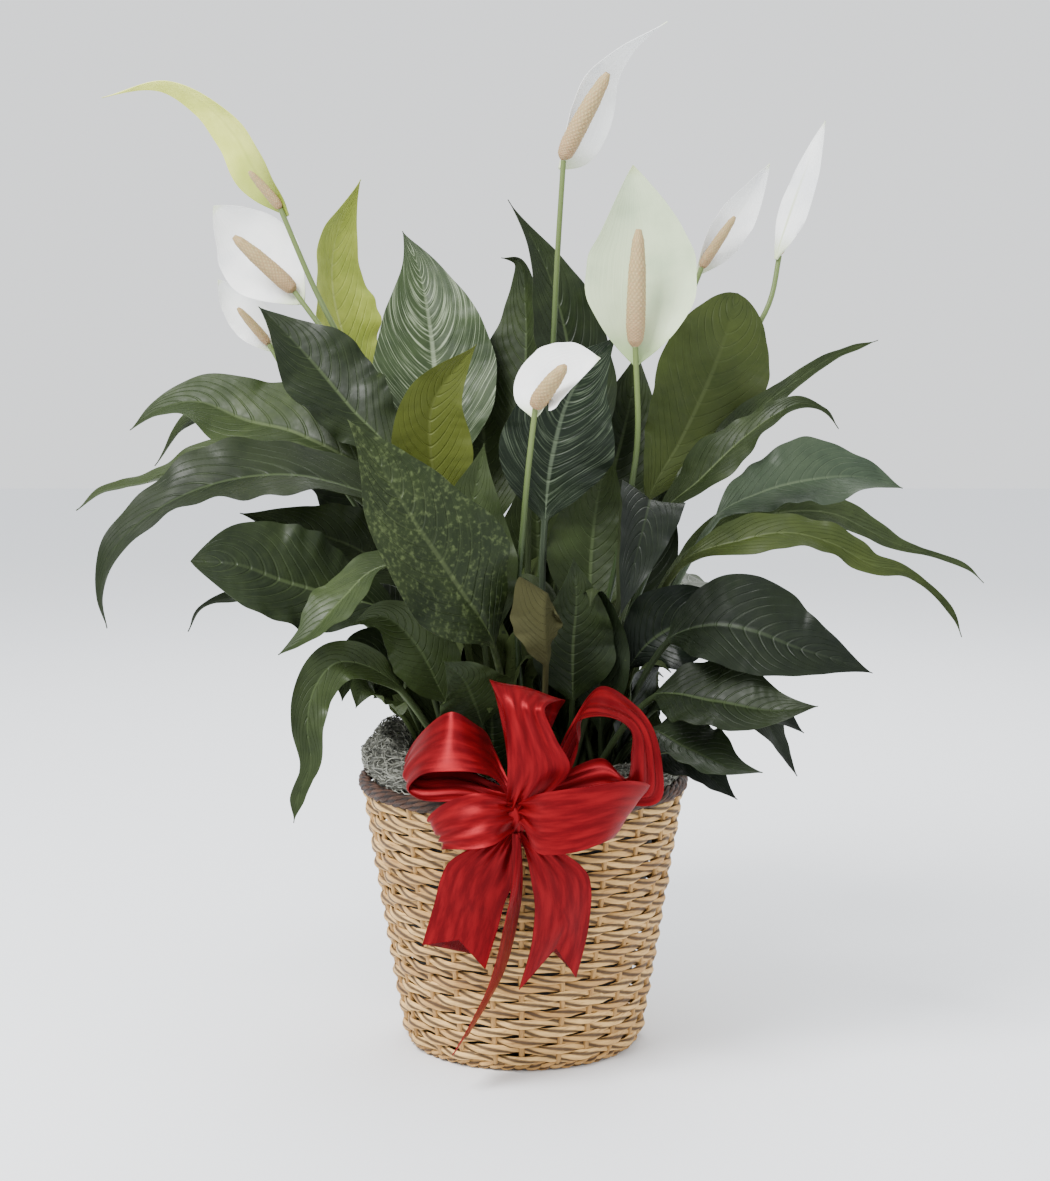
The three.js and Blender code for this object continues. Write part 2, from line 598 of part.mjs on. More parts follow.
// ---------------------------------------------------------------- blooms
// stalk runs from the soil to the bloom; spathe from there to its tip; spadix is where its end is.
const BLOOMS = {
  bloom_top: {
    root: [-2, 12], stalk: [[11, 10, 314], [21, 16, 490], [24, 16, 555], [28, 12, 621]],
    spathe: [[36, 25, 630], [46, 26, 656], [52, 20, 676], [69, 12, 695], [99, 4, 714]],
    spadix: [58, -6, 678], knob: 6.5, face: [0.5, -0.8, -0.3], width: 36, peak: 0.28, taper: 1.7,
  },
  bloom_right_of_centre: {
    root: [19, -3], stalk: [[52, -30, 291], [75, -40, 405], [78, -40, 435], [76, -40, 492]],
    spathe: [[79, -28, 520], [80, -24, 566], [74, -34, 614]], spadix: [77, -54, 570], knob: 6.5,
    face: [0, -1, 0.05], width: 76,
  },
  bloom_middle: {
    root: [2, -29], stalk: [[-4, -62, 323], [-1, -69, 360], [3, -77, 407], [8, -86, 452]],
    spathe: [[11, -76, 462], [20, -81, 470], [34, -91, 479], [50, -105, 485]],
    spadix: [27, -114, 480], knob: 6, face: [0.1, -0.8, 0.55], width: 47,
  },
  bloom_left: {
    root: [-22, 16], stalk: [[-92, 42, 433], [-134, 58, 490], [-166, 70, 532]],
    spathe: [[-188, 86, 552], [-207, 88, 575], [-225, 78, 594]], spadix: [-208, 58, 571], knob: 6,
    face: [0, -1, 0.1], width: 60, peak: 0.45, taper: 0.8,
  },
  bloom_far_left: {
    root: [-17, 6], stalk: [[-108, 42, 447], [-130, 52, 494], [-152, 62, 537], [-175, 66, 591]],
    spathe: [[-195, 75, 621], [-208, 77, 644], [-229, 72, 666], [-258, 64, 679], [-299, 50, 668]],
    spadix: [-196, 56, 617], knob: 3.6, face: [-0.8, -0.5, 0.3], width: 36, peak: 0.25,
    taper: 1.6, green: true,
  },
  bloom_right: {
    root: [30, 29], stalk: [[158, 70, 483], [181, 84, 526], [188, 90, 559]],
    spathe: [[196, 92, 589], [207, 92, 621], [220, 88, 656]], spadix: [201, 108, 606], knob: 3.6,
    face: [0.6, 0.8, 0.1], width: 24,
  },
  bloom_back: {
    root: [43, 38], stalk: [[116, 110, 505], [134, 128, 551]],
    spathe: [[153, 138, 578], [170, 140, 604], [185, 134, 629]], spadix: [158, 121, 589], knob: 4,
    face: [0.3, -0.9, 0], width: 30,
  },
  bloom_back_left: {
    root: [-14, 38], stalk: [[-144, 92, 439], [-175, 106, 471], [-190, 112, 494]],
    spathe: [[-204, 122, 512], [-218, 122, 528], [-228, 116, 542]], spadix: [-212, 104, 521],
    knob: 3.6, face: [0, -1, 0.2], width: 32, taper: 0.8,
  },
};
const SPATHE = {
  peak: 0.4, taper: 0.95, fold: 3, cup: 0.25, wave: 1, waves: 1.5, stem: 1.3,
};
const STALK_R = 2.1;
const STALK_SIDES = 6;
const SPADIX_BEND = 0.1; // share of its length for which a spadix goes on along its stalk

function stalkCurve({ root, stalk }) {
  const [x, y] = root;
  const spine = [[x, y, ROOT_Z], [x, y, SOIL_Z + 4], ...stalk].map(vec);
  return new THREE.CatmullRomCurve3(spine, false, 'centripetal');
}

function stalkOf(spec) {
  const curve = stalkCurve(spec);
  const stations = [...stemStations(curve, 1, 5), 1];
  const frames = framesAlong(curve, stations, stations.length - 1, [0.3, -1, 0], 0);
  return loft(frames.map((f, i) => Array.from({ length: STALK_SIDES }, (_, k) => {
    const turn = (2 * Math.PI * k) / STALK_SIDES;
    const r = STALK_R * (1.15 - 0.25 * stations[i]);
    return f.p.clone().addScaledVector(f.s, r * Math.cos(turn)).addScaledVector(f.n, r * Math.sin(turn));
  })));
}

// The spathe springs from behind its stalk, a little below the end, and cups round the spadix.
function spatheOf(spec) {
  const { stalk, spathe, face } = spec;
  const along = vec(stalk.at(-1)).sub(vec(stalk.at(-2))).normalize();
  const base = vec(stalk.at(-1)).addScaledVector(along, -spec.width / 6);
  const behind = vec(face).addScaledVector(along, -vec(face).dot(along)).normalize();
  base.addScaledVector(behind, -(STALK_R + SPATHE.stem + GAP));
  const curve = new THREE.CatmullRomCurve3([base, ...spathe.map(vec)], false, 'centripetal');
  const steps = 8;
  const stations = Array.from({ length: steps + 1 }, (_, i) => i / steps);
  const blade = { ...LEAF, ...SPATHE, ...spec };
  const frames = framesAlong(curve, stations, 4, face, 0);
  return loft(frames.map((f, i) => bladeRing(f, stations[i], blade, blade.across)));
}

// The spadix stands square on the end of its stalk: a round-ended finger covered in knobs.
function spadixOf(spec) {
  const { stalk, spadix, knob } = spec;
  const along = stalkCurve(spec).getTangentAt(1);
  const foot = vec(stalk.at(-1)).addScaledVector(along, GAP);
  const tip = vec(spadix);
  const bend = foot.clone().addScaledVector(along, foot.distanceTo(tip) * SPADIX_BEND);
  const curve = new THREE.QuadraticBezierCurve3(foot, bend, tip);
  const profile = [[0, 0.3], [0.16, 0.8], [0.36, 1], [0.58, 1], [0.8, 0.9], [0.95, 0.62], [1, 0.3]];
  const frames = framesAlong(curve, profile.map(([u]) => u), 0, [0.3, -1, 0.1], 0);
  const sides = 8;
  return loft(frames.map((f, i) => Array.from({ length: sides }, (_, k) => {
    const turn = (2 * Math.PI * k) / sides;
    const r = knob * profile[i][1] * ((i + k) % 2 ? 1.06 : 0.94);
    return f.p.clone().addScaledVector(f.s, r * Math.cos(turn)).addScaledVector(f.n, r * Math.sin(turn));
  })));
}

// ---------------------------------------------------------------- ribbon bow
// Each loop is a band of ribbon that leaves the knot and comes back to it, given by its two edges.
const LOOPS = [
  { // left
    one: [[-7, -134, 200], [-23, -102, 237], [-31, -111, 246], [-47, -115, 255], [-72, -100, 234],
      [-79, -102, 219], [-72, -110, 216], [-43, -114, 218], [-12, -128, 207]],
    other: [[-3, -140, 194], [-17, -134, 213], [-28, -140, 219], [-47, -139, 220], [-67, -135, 217],
      [-76, -130, 206], [-67, -136, 200], [-38, -141, 200], [-8, -140, 196]],
  },
  { // middle
    one: [[-11, -139, 193], [-10, -150, 222], [-10, -152, 244], [-13, -150, 263], [-21, -138, 280],
      [-18, -112, 265], [-11, -110, 229], [-8, -130, 195]],
    other: [[3, -141, 194], [30, -144, 223], [21, -146, 243], [14, -146, 262], [27, -128, 265],
      [23, -106, 253], [11, -108, 224], [1, -130, 195]],
  },
  { // right
    one: [[-4, -132, 198], [17, -104, 217], [31, -98, 242], [52, -96, 268], [73, -104, 257],
      [83, -114, 244], [90, -119, 219], [89, -119, 197], [58, -126, 195], [27, -132, 195],
      [-1, -134, 196]],
    other: [[2, -138, 193], [25, -122, 208], [37, -118, 233], [36, -126, 250], [54, -133, 254],
      [68, -135, 246], [69, -134, 231], [67, -130, 214], [52, -116, 224], [24, -118, 213],
      [1, -131, 199]],
  },
  { // lower left
    one: [[-6, -140, 202], [-29, -146, 207], [-50, -142, 200], [-62, -130, 186], [-54, -120, 182],
      [-28, -124, 190], [-7, -130, 195]],
    other: [[-6, -142, 182], [-20, -160, 176], [-38, -158, 173], [-51, -146, 171], [-46, -134, 170],
      [-24, -134, 179], [-7, -134, 188]],
  },
  { // lower right
    one: [[-2, -141, 202], [16, -156, 210], [43, -162, 215], [68, -154, 217], [82, -136, 210],
      [69, -122, 203], [32, -124, 198], [-1, -130, 194]],
    other: [[-1, -143, 184], [10, -160, 171], [32, -166, 173], [52, -158, 178], [60, -142, 178],
      [53, -130, 175], [25, -130, 178], [-2, -134, 187]],
  },
];
const TAILS = [
  { line: [[-8, -137, 180], [-30, -130, 146], [-38, -121, 118], [-46, -116, 90]],
    side: [-21, 1, 8], notch: 13 }, // left
  { line: [[-4, -139, 180], [-5, -140, 140], [-16, -130, 84], [-28, -122, 56], [-42, -116, 30]],
    side: [5, 14, 2], notch: 6 }, // edge-on
  { line: [[0, -137, 180], [24, -128, 146], [25, -121, 110], [16, -115, 72]], side: [19, 10, 1],
    notch: 26 }, // right
];
const LOOP_STEPS = 10;

function strip(points, sides, notch = 0) {
  const last = points.length - 1;
  const rings = points.map((p, i) => {
    const ahead = points[Math.min(i + 1, last)].clone().sub(points[Math.max(i - 1, 0)]).normalize();
    const normal = new THREE.Vector3().crossVectors(ahead, sides[i]).normalize();
    const edge = (k) => {
      const pull = i === last && k === 0 ? -notch : 0;
      return p.clone().addScaledVector(sides[i], k).addScaledVector(ahead, pull);
    };
    const half = RIBBON_THICK / 2;
    const upper = [-1, 0, 1].map((k) => edge(k).addScaledVector(normal, half));
    const lower = [1, 0, -1].map((k) => edge(k).addScaledVector(normal, -half));
    return [...upper, ...lower];
  });
  return loft(rings);
}

// A band of ribbon between its two edges.
function loop({ one, other }) {
  const edges = [one, other].map((line) => new THREE.CatmullRomCurve3(line.map(vec), false, 'centripetal'));
  const points = [];
  const sides = [];
  for (let i = 0; i <= LOOP_STEPS; i++) {
    const [a, b] = edges.map((edge) => edge.getPoint(i / LOOP_STEPS));
    points.push(a.clone().lerp(b, 0.5));
    sides.push(b.sub(a).multiplyScalar(0.5));
  }
  return strip(points, sides);
}

function tail({ line, side, notch }) {
  const curve = new THREE.CatmullRomCurve3(line.map(vec), false, 'centripetal');
  const steps = 6;
  const points = [];
  const sides = [];
  for (let i = 0; i <= steps; i++) {
    points.push(curve.getPointAt(i / steps));
    sides.push(vec(side).multiplyScalar(mix(0.3, 1, smooth((2.5 * i) / steps))));
  }
  return strip(points, sides, notch);
}

function bow() {
  const knot = new THREE.SphereGeometry(KNOT_R, 8, 5);
  knot.scale(1, 0.8, 1.3);
  knot.translate(KNOT.x, KNOT.y, KNOT.z);
  const rimFront = RIM_MID_R + (RIM_DEPTH / 2) * Math.cos(Math.PI / RIM_SIDES) + GAP;
  const tie = new THREE.CylinderGeometry(TIE_R, TIE_R, -KNOT.y - rimFront, 6);
  tie.translate(KNOT.x, (KNOT.y - rimFront) / 2, KNOT.z);
  return fuse([knot, tie, ...LOOPS.map(loop), ...TAILS.map(tail)]);
}

// ---------------------------------------------------------------- assembly
const group = new THREE.Group();

function place(name, geometry, material) {
  const mesh = new THREE.Mesh(geometry, new THREE.MeshStandardMaterial(MATERIALS[material]));
  mesh.name = name;
  group.add(mesh);
}

const leafHoles = Object.values(LEAVES).map(({ root }) => ({ root, r: STEM_R + HOLE_CLEAR }));
const crownHoles = Object.values(CROWNS).map(({ root }) => ({ root, r: SHEATH_R + STEM_R + HOLE_CLEAR }));
const stalkHoles = Object.values(BLOOMS).map(({ root }) => ({ root, r: STEM_R + HOLE_CLEAR }));

place('woven_basket', wovenBasket(), 'wicker');
place('basket_rim', basketRim(), 'rim');
place('grow_pot', growPot(), 'pot');
place('soil', soilBody([...leafHoles, ...crownHoles, ...stalkHoles]), 'soil');
place('moss_collar', mossCollar(), 'moss');
place('ribbon_bow', bow(), 'ribbon');
for (const [name, spec] of Object.entries(LEAVES)) {
  place(name, leaf(spec), spec.pale ? 'pale_leaf' : 'leaf');
}
for (const [name, { root, leaves }] of Object.entries(CROWNS)) {
  place(name, crown(root, leaves), 'leaf');
}
for (const [name, spec] of Object.entries(BLOOMS)) {
  place(`${name}_stalk`, stalkOf(spec), 'stalk');
  place(`${name}_spathe`, spatheOf(spec), spec.green ? 'green_spathe' : 'spathe');
  place(`${name}_spadix`, spadixOf(spec), 'spadix');
}

export default group;
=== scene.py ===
import bpy
import numpy as np
from numpy import cos, linspace, pi, sin
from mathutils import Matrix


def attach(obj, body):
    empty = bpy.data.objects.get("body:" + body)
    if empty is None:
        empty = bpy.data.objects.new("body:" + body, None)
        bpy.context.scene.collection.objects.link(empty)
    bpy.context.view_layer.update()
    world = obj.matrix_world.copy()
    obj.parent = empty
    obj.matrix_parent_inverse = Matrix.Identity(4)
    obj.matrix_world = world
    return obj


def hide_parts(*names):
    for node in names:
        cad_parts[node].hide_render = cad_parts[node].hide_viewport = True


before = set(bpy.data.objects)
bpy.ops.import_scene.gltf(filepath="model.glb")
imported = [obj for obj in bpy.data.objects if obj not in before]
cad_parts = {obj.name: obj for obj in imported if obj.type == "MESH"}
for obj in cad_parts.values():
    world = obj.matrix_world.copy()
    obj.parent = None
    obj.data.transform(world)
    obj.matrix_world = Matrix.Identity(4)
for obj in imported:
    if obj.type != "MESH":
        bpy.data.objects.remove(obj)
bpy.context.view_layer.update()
rng = np.random.default_rng(11)

# ---------------- driving dimensions, as in the solids
MM = 0.001
GAP = 0.3
BASKET_H = 193
BASKET_BASE_R = 84
BASKET_RIM_R = 115
BASKET_WALL = 5
BASKET_FLOOR = 7
FOOT_ROUND = (12, 5)  # height and inset of the wall's roll at the foot
RIM_H = 11
RIM_DEPTH = 9
RIM_MID_R = BASKET_RIM_R - BASKET_WALL / 2
POT_H = 172
POT_TOP_R = 99
POT_BASE_R = 72
POT_WALL = 1.8
POT_LIP = 4
POT_BAND = 14  # height of the wider band at the pot's mouth
POT_FLOOR_Z = BASKET_FLOOR + GAP
POT_RIM_Z = POT_FLOOR_Z + POT_H
SOIL_Z = POT_RIM_Z - 9
ROOT_Z = SOIL_Z - 11
SHEATH_R = 1.8
MOSS_INNER_R = 78
MOSS_OUTER_R = 114
MOSS_TOP = 209
MOSS_LEFT_RISE = 14
STALK_R = 2.1
KNOT = np.array([-5.0, -136.0, 190.0])
KNOT_R = 11
STAKES = 24
WEAVE_ROWS = 27
WEAVE_DEPTH = 1.9  # how far a row stands out before one stake and in behind the next
WEAVE_FROM = 9.5
WEAVE_TO = BASKET_H - 14.4
RIB = 1.2  # how far a midrib stands out below
BLADE = 0.9  # thickness of a leaf beside its midrib

# Finer than in the solids
STRAND_HALF = (1.75, 3.15)  # half depth and half height of a woven strand
STRAW_LOBES = 3
STRAW_TWIST = 24  # length in which a strand twists once round
FLOOR_SPOKES = 12
FLOOR_ROW = 5.6  # from one woven row of the floor to the next
RIM_PLIES = 5
RIM_WINDS = 17  # turns of each ply round the core of the border
VEINS = 15  # side veins along a blade
VEIN_LEAN = 0.32  # share of the blade by which a side vein leans towards the tip
VEIN_DEPTH = 0.5
RIBBON_THICK = 0.5
UNDERGROWTH = 5  # small leaves low in each crown
MOSS_THREADS = 2300
SOIL_CRUMBS = 240
SPADIX_BEND = 0.1  # share of its length for which a spadix goes on along its stalk
SPADIX_PROFILE = ((0, 0.3), (0.16, 0.8), (0.36, 1), (0.58, 1), (0.8, 0.9), (0.95, 0.62), (1, 0.3))
KNOBS_ROUND = 12
KNOB_STEP = 1.7


# ---------------- numbers
def mix(a, b, t):
    return a + (b - a) * t


def smooth(t):
    c = np.clip(t, 0, 1)
    return c * c * (3 - 2 * c)


def unit(v):
    return v / np.linalg.norm(v, axis=-1, keepdims=True)


def circle(count):
    """Angles of equal steps round a circle."""
    return 2 * pi * np.arange(count) / count


def joined(*parts):
    """Vectors made of numbers side by side."""
    return np.stack(np.broadcast_arrays(*parts), -1)


def ring_of(radius, height, turn):
    """Points at a turn round the upright axis."""
    return joined(radius * cos(turn), radius * sin(turn), height)


def noise(points, seed=0):
    """Smooth noise from -1 to 1 at an array of points, one unit between its knots."""
    cell = np.floor(points).astype(np.int64)
    share = points - cell
    share = share * share * (3 - 2 * share)
    total = 0
    for corner in np.ndindex(2, 2, 2):
        at = cell + corner
        mash = at[..., 0] * 73856093 ^ at[..., 1] * 19349663 ^ at[..., 2] * 83492791 ^ seed * 2654435761
        mash = (mash ^ (mash >> 13)) * 1274126177 & 0x7FFFFFFF
        value = ((mash ^ (mash >> 15)) & 0xFFFF) / 32767.5 - 1
        total = total + value * np.prod(np.where(corner, share, 1 - share), axis=-1)
    return total


def noise_along(x, seed=0):
    """Smooth noise from -1 to 1 along a line of numbers."""
    return noise(joined(x, 0.37 + seed, 0.71), seed)


class Spline:
    """A centripetal Catmull-Rom curve through points, measured along its length."""

    SAMPLES = 60

    def __init__(self, points):
        p = np.array(points, float)
        p = np.vstack([2 * p[0] - p[1], p, 2 * p[-1] - p[-2]])
        spans = len(p) - 3
        t = linspace(0, spans, self.SAMPLES * spans + 1)
        i = np.minimum(t.astype(int), spans - 1)
        w = (t - i)[:, None]
        knots = np.sqrt(np.linalg.norm(np.diff(p, axis=0), axis=1))[:, None]
        p0, p1, p2, p3 = (p[i + k] for k in range(4))
        d0, d1, d2 = (knots[i + k] for k in range(3))
        lead = ((p1 - p0) / d0 - (p2 - p0) / (d0 + d1)) * d1 + (p2 - p1)
        trail = ((p3 - p2) / d2 - (p3 - p1) / (d1 + d2)) * d1 + (p2 - p1)
        self.line = p1 + lead * w + (3 * (p2 - p1) - 2 * lead - trail) * w**2
        self.line += (2 * (p1 - p2) + lead + trail) * w**3
        steps = np.linalg.norm(np.diff(self.line, axis=0), axis=1)
        self.run = np.concatenate([[0], np.cumsum(steps)])
        self.length = self.run[-1]

    def read(self, where, places):
        return joined(*(np.interp(where, places, self.line[:, axis]) for axis in range(3)))

    def between(self, u):
        """The point at a share of the number of spans, not of the length."""
        return self.read(u, linspace(0, 1, len(self.line)))

    def at(self, u):
        """The point at a share of the length."""
        return self.read(np.clip(u, 0, 1) * self.length, self.run)

    def along(self, u):
        step = 2 / self.length
        return unit(self.at(u + step) - self.at(u - step))

    def share(self, i):
        """Share of the length at which the curve passes its point i."""
        return self.run[self.SAMPLES * i] / self.length


def frames(curve, stations, anchor, face, twist=0):
    """Points, normals and sides along a curve: face is given at one station and carried on.

    From there the blade turns on itself by twist degrees along the whole curve.
    """
    p, t = curve.at(stations), curve.along(stations)
    n = np.zeros_like(p)
    n[anchor] = unit(np.array(face, float) - t[anchor] * np.dot(face, t[anchor]))
    for i in [*range(anchor + 1, len(stations)), *range(anchor - 1, -1, -1)]:
        last = n[i - 1] if i > anchor else n[i + 1]
        n[i] = unit(last - t[i] * np.dot(last, t[i]))
    turn = np.radians(twist * (stations - stations[anchor]))[:, None]
    n = n * cos(turn) + np.cross(t, n) * sin(turn)
    return p, n, np.cross(t, n)


# ---------------- meshes
def loft(rings, marks=(0.0, 0.0, 0.0), tone=0.5, closed=False):
    """A closed skin through rings of equally many points, its faces pointing out.

    marks holds a vector for each point, which the materials read as "form"; tone is one number.
    """
    count, n, _ = rings.shape
    i, k = np.meshgrid(np.arange(count if closed else count - 1), np.arange(n), indexing="ij")
    ahead, beside = (i + 1) % count, (k + 1) % n
    quads = joined(i * n + k, i * n + beside, ahead * n + beside, ahead * n + k).reshape(-1, 4)
    points = rings.reshape(-1, 3)
    a, b, c, d = (points[quads[:, corner]] for corner in range(4))
    turn = np.sum(a * np.cross(b, c)) + np.sum(a * np.cross(c, d))
    faces = quads.tolist()
    if not closed:
        faces.append(list(range(n))[::-1])
        faces.append(list(range((count - 1) * n, count * n)))
    if turn < 0:
        faces = [face[::-1] for face in faces]
    return points, faces, np.broadcast_to(marks, rings.shape).reshape(-1, 3), tone


def tube(points, radius, sides=6, tone=0.5, swell=1, mark=0.0):
    """A round skin along a list of points; swell scales its radius at each point of each ring."""
    points = np.asarray(points, float)
    t = unit(np.gradient(points, axis=0))
    across = np.array([0.0, 0.0, 1.0]) if abs(t[0][2]) < 0.9 else np.array([1.0, 0.0, 0.0])
    n = np.zeros_like(points)
    for i in range(len(points)):
        across = unit(across - t[i] * np.dot(across, t[i]))
        n[i] = across
    turn = circle(sides)
    run = np.concatenate([[0], np.cumsum(np.linalg.norm(np.diff(points, axis=0), axis=1))])
    r = np.broadcast_to(np.reshape(radius, (-1, 1)), (len(points), sides)) * swell
    around = np.cross(t, n)[:, None] * cos(turn)[:, None] + n[:, None] * sin(turn)[:, None]
    return loft(points[:, None] + r[..., None] * around, joined(run[:, None], turn, mark), tone)


def piece(name, skins, material, slot, *nodes):
    """One piece of the finish, which stands for the named solids."""
    points, own_faces, marks, tones = zip(*skins)
    counts = [len(own) for own in points]
    starts = np.cumsum([0, *counts[:-1]]).tolist()
    faces = [[start + i for i in face] for start, own in zip(starts, own_faces) for face in own]
    mesh = bpy.data.meshes.new(name)
    mesh.from_pydata((np.concatenate(points) * MM).tolist(), [], faces)
    form = mesh.attributes.new("form", "FLOAT_VECTOR", "POINT")
    form.data.foreach_set("vector", np.concatenate(marks).ravel())
    tone = mesh.attributes.new("tone", "FLOAT", "POINT")
    tone.data.foreach_set("value", np.repeat(np.array(tones, float), counts))
    mesh.shade_smooth()
    mesh.set_sharp_from_angle(angle=np.radians(55))
    mesh.materials.append(material)
    made = bpy.data.objects.new(name, mesh)
    bpy.context.scene.collection.objects.link(made)
    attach(made, "root")
    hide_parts(*nodes)
    return made


# ---------------- materials
class Wire:
    """A value inside a material. Reckoning with it adds nodes."""

    def __init__(self, look, socket):
        self.look = look
        self.socket = socket

    def math(self, operation, other=0.0):
        return self.look.wire("Math", self, other, operation=operation)

    def __add__(self, other):
        return self.math("ADD", other)

    def __sub__(self, other):
        return self.math("SUBTRACT", other)

    def __mul__(self, other):
        return self.math("MULTIPLY", other)

    def __pow__(self, other):
        return self.math("POWER", other)

    def ramp(self, low, high, to_low=0.0, to_high=1.0):
        """From low to high it becomes to_low to to_high, smoothly, and no more at either end."""
        return self.look.wire("MapRange", self, low, high, to_low, to_high, interpolation_type="SMOOTHSTEP")


class Look:
    """A procedural material, whose colour is painted in layers over a first one."""

    def __init__(self, name, colour, **surface):
        self.material = bpy.data.materials.new(name)
        self.material.use_nodes = True
        self.tree = self.material.node_tree
        self.surface = self.tree.nodes["Principled BSDF"]
        self.colour = colour
        self.set(**surface)

    def set(self, **surface):
        for name, value in surface.items():
            self.put(self.surface.inputs[name.replace("_", " ")], value)

    def put(self, socket, value):
        if isinstance(value, Wire):
            self.tree.links.new(value.socket, socket)
        else:
            socket.default_value = (*value, 1) if socket.type == "RGBA" else value

    def wire(self, kind, *inputs, out=0, **settings):
        """An output of a new node, with its settings and its first inputs."""
        node = self.tree.nodes.new("ShaderNode" + kind)
        for name, value in settings.items():
            setattr(node, name, value)
        for socket, value in zip(node.inputs, inputs):
            if value is not None:
                self.put(socket, value)
        return Wire(self, node.outputs[out])

    def form(self):
        """The three marks of each point of a skin."""
        mark = self.wire("Attribute", out="Vector", attribute_name="form")
        split = self.wire("SeparateXYZ", mark).socket.node
        return [Wire(self, output) for output in split.outputs]

    def tone(self):
        return self.wire("Attribute", out="Fac", attribute_name="tone")

    def place(self, stretch=(1, 1, 1)):
        return self.wire("VectorMath", self.wire("TexCoord", out="Object"), stretch, operation="MULTIPLY")

    def noise(self, where, scale, detail=3.0, rough=0.55):
        """Noise at a place, or at a tuple of three values."""
        vector = self.wire("CombineXYZ", *where) if isinstance(where, tuple) else where
        return self.wire("TexNoise", vector, None, scale, detail, rough)

    def paint(self, colour, share):
        """Lays a colour over the ones so far."""
        unused = [None] * 5
        self.colour = self.wire("Mix", share, *unused, self.colour, colour, out=2, data_type="RGBA")

    def done(self, rough, height, depth):
        """The material, with its colour, its roughness and a bump of some millimetres."""
        bump = self.tree.nodes.new("ShaderNodeBump")
        self.put(bump.inputs["Distance"], depth * MM)
        self.put(bump.inputs["Height"], height)
        self.set(Base_Color=self.colour, Roughness=rough, Normal=Wire(self, bump.outputs[0]))
        return self.material


def blade_look(name, dark, light, under, vein, rough=0.42, painted_glints=0.0, sheen_stripes=0.0):
    """A leaf: two greens in soft patches, paler side veins and midrib, a dull underside, and for some leaves
    pale stripes of painted sheen and speckles of painted glint.
    """
    look = Look(name, dark, Specular_IOR_Level=0.16)
    k, v, side = look.form()
    tone = look.tone()
    place = look.place()
    across = k.math("ABSOLUTE")
    patches = look.noise(place, 22)
    mottle = look.noise(place, 130, 4)
    share = patches * 0.9 + tone * 0.75 + mottle * 0.35
    look.paint(light, share.ramp(0.62, 1.38))
    phase = (v - across**1.5 * VEIN_LEAN) * VEINS
    veined = phase.math("PINGPONG", 0.5).ramp(0.13, 0.02) * across.ramp(1.0, 0.5)
    look.paint(vein, veined * look.noise(place, 34).ramp(0.35, 0.7, 0.02, 0.2))
    # Fine fibre streaks in the vein colour, grown on some leaves into pale stripes of painted sheen between
    # the veins.
    fibres = look.noise((phase * 4.0, across, tone), 1.6, 3)
    look.paint(vein, fibres.ramp(0.5, 0.72, 0.0, 0.1 + sheen_stripes))
    look.paint(vein, across.ramp(0.055, 0.015) * v.ramp(1.0, 0.3, 0.0, 0.5))
    look.paint(vein, v.ramp(0.05, 0.0) * 0.25)
    # Painted highlights: small pale speckles of glint over the glossy face.
    if painted_glints:
        glint_spots = look.noise(place, 300, 3) + patches * 0.25
        look.paint((0.075, 0.1, 0.036), glint_spots.ramp(0.6, 0.9, 0.0, painted_glints))
    look.paint(under, side * 0.75)
    gloss = look.noise(place, 60).ramp(0.3, 0.7, rough - 0.08, rough + 0.14)
    return look.done(gloss + side * 0.18, veined * -1.0 + mottle * 0.6, 0.35)


def spathe_look(name, white, shade, foot, tip, foot_end=0.22):
    """A spathe: waxy white with soft patches of painted shade and faint long veins, greener at its foot, its
    middle and its tip.
    """
    look = Look(name, white, Specular_IOR_Level=0.3)
    k, v, side = look.form()
    # Painted shade: soft patches of the grey shade colour over the white.
    look.paint(shade, look.noise(look.place(), 28).ramp(0.4, 0.75))
    streaks = look.noise((k * 13.0, v, 0.0), 1.5, 2)
    look.paint(shade, streaks.ramp(0.5, 0.8, 0.0, 0.3))
    middle = k.math("ABSOLUTE").ramp(0.14, 0.0) * v.ramp(0.9, 0.2, 0.0, 0.6)
    look.paint(foot, middle * (side + 0.35))
    look.paint(foot, v.ramp(foot_end, 0.0, 0.0, 0.85))
    look.paint(tip, v.ramp(0.93, 1.0, 0.0, 0.8))
    return look.done(streaks.ramp(0.3, 0.7, 0.42, 0.55), streaks, 0.25)


def spadix_look():
    """Tiny crowded florets: cream knobs with painted shade in the seams between them."""
    look = Look("spadix", (0.36, 0.235, 0.12), Subsurface_Weight=0.15, Subsurface_Scale=0.002)
    _, v, knob = look.form()
    grain = look.noise(look.place(), 420, 3)
    look.paint((0.4, 0.3, 0.14), v.ramp(0.1, 0.85))
    # Painted shade: darker brown in the hollows between the knobs.
    look.paint((0.24, 0.14, 0.06), knob.ramp(0.5, 0.0, 0.0, 0.4))
    look.paint((0.5, 0.41, 0.25), grain.ramp(0.5, 0.8, 0.0, 0.3))
    return look.done(grain.ramp(0.3, 0.7, 0.55, 0.8), grain, 0.4)


def stalk_look():
    """A smooth stalk with fine long streaks, paler and yellower towards the bloom."""
    look = Look("stalk", (0.018, 0.034, 0.009), Specular_IOR_Level=0.25, Coat_Weight=0.08, Coat_Roughness=0.3)
    run, turn, height = look.form()
    streaks = look.noise((run * 0.03, turn * 1.5, 0.0), 2.2)
    look.paint((0.12, 0.165, 0.05), height.ramp(0.6, 1.0))
    look.paint((0.09, 0.12, 0.045), streaks.ramp(0.45, 0.75, 0.0, 0.35))
    return look.done(streaks.ramp(0.3, 0.7, 0.36, 0.5), streaks, 0.2)


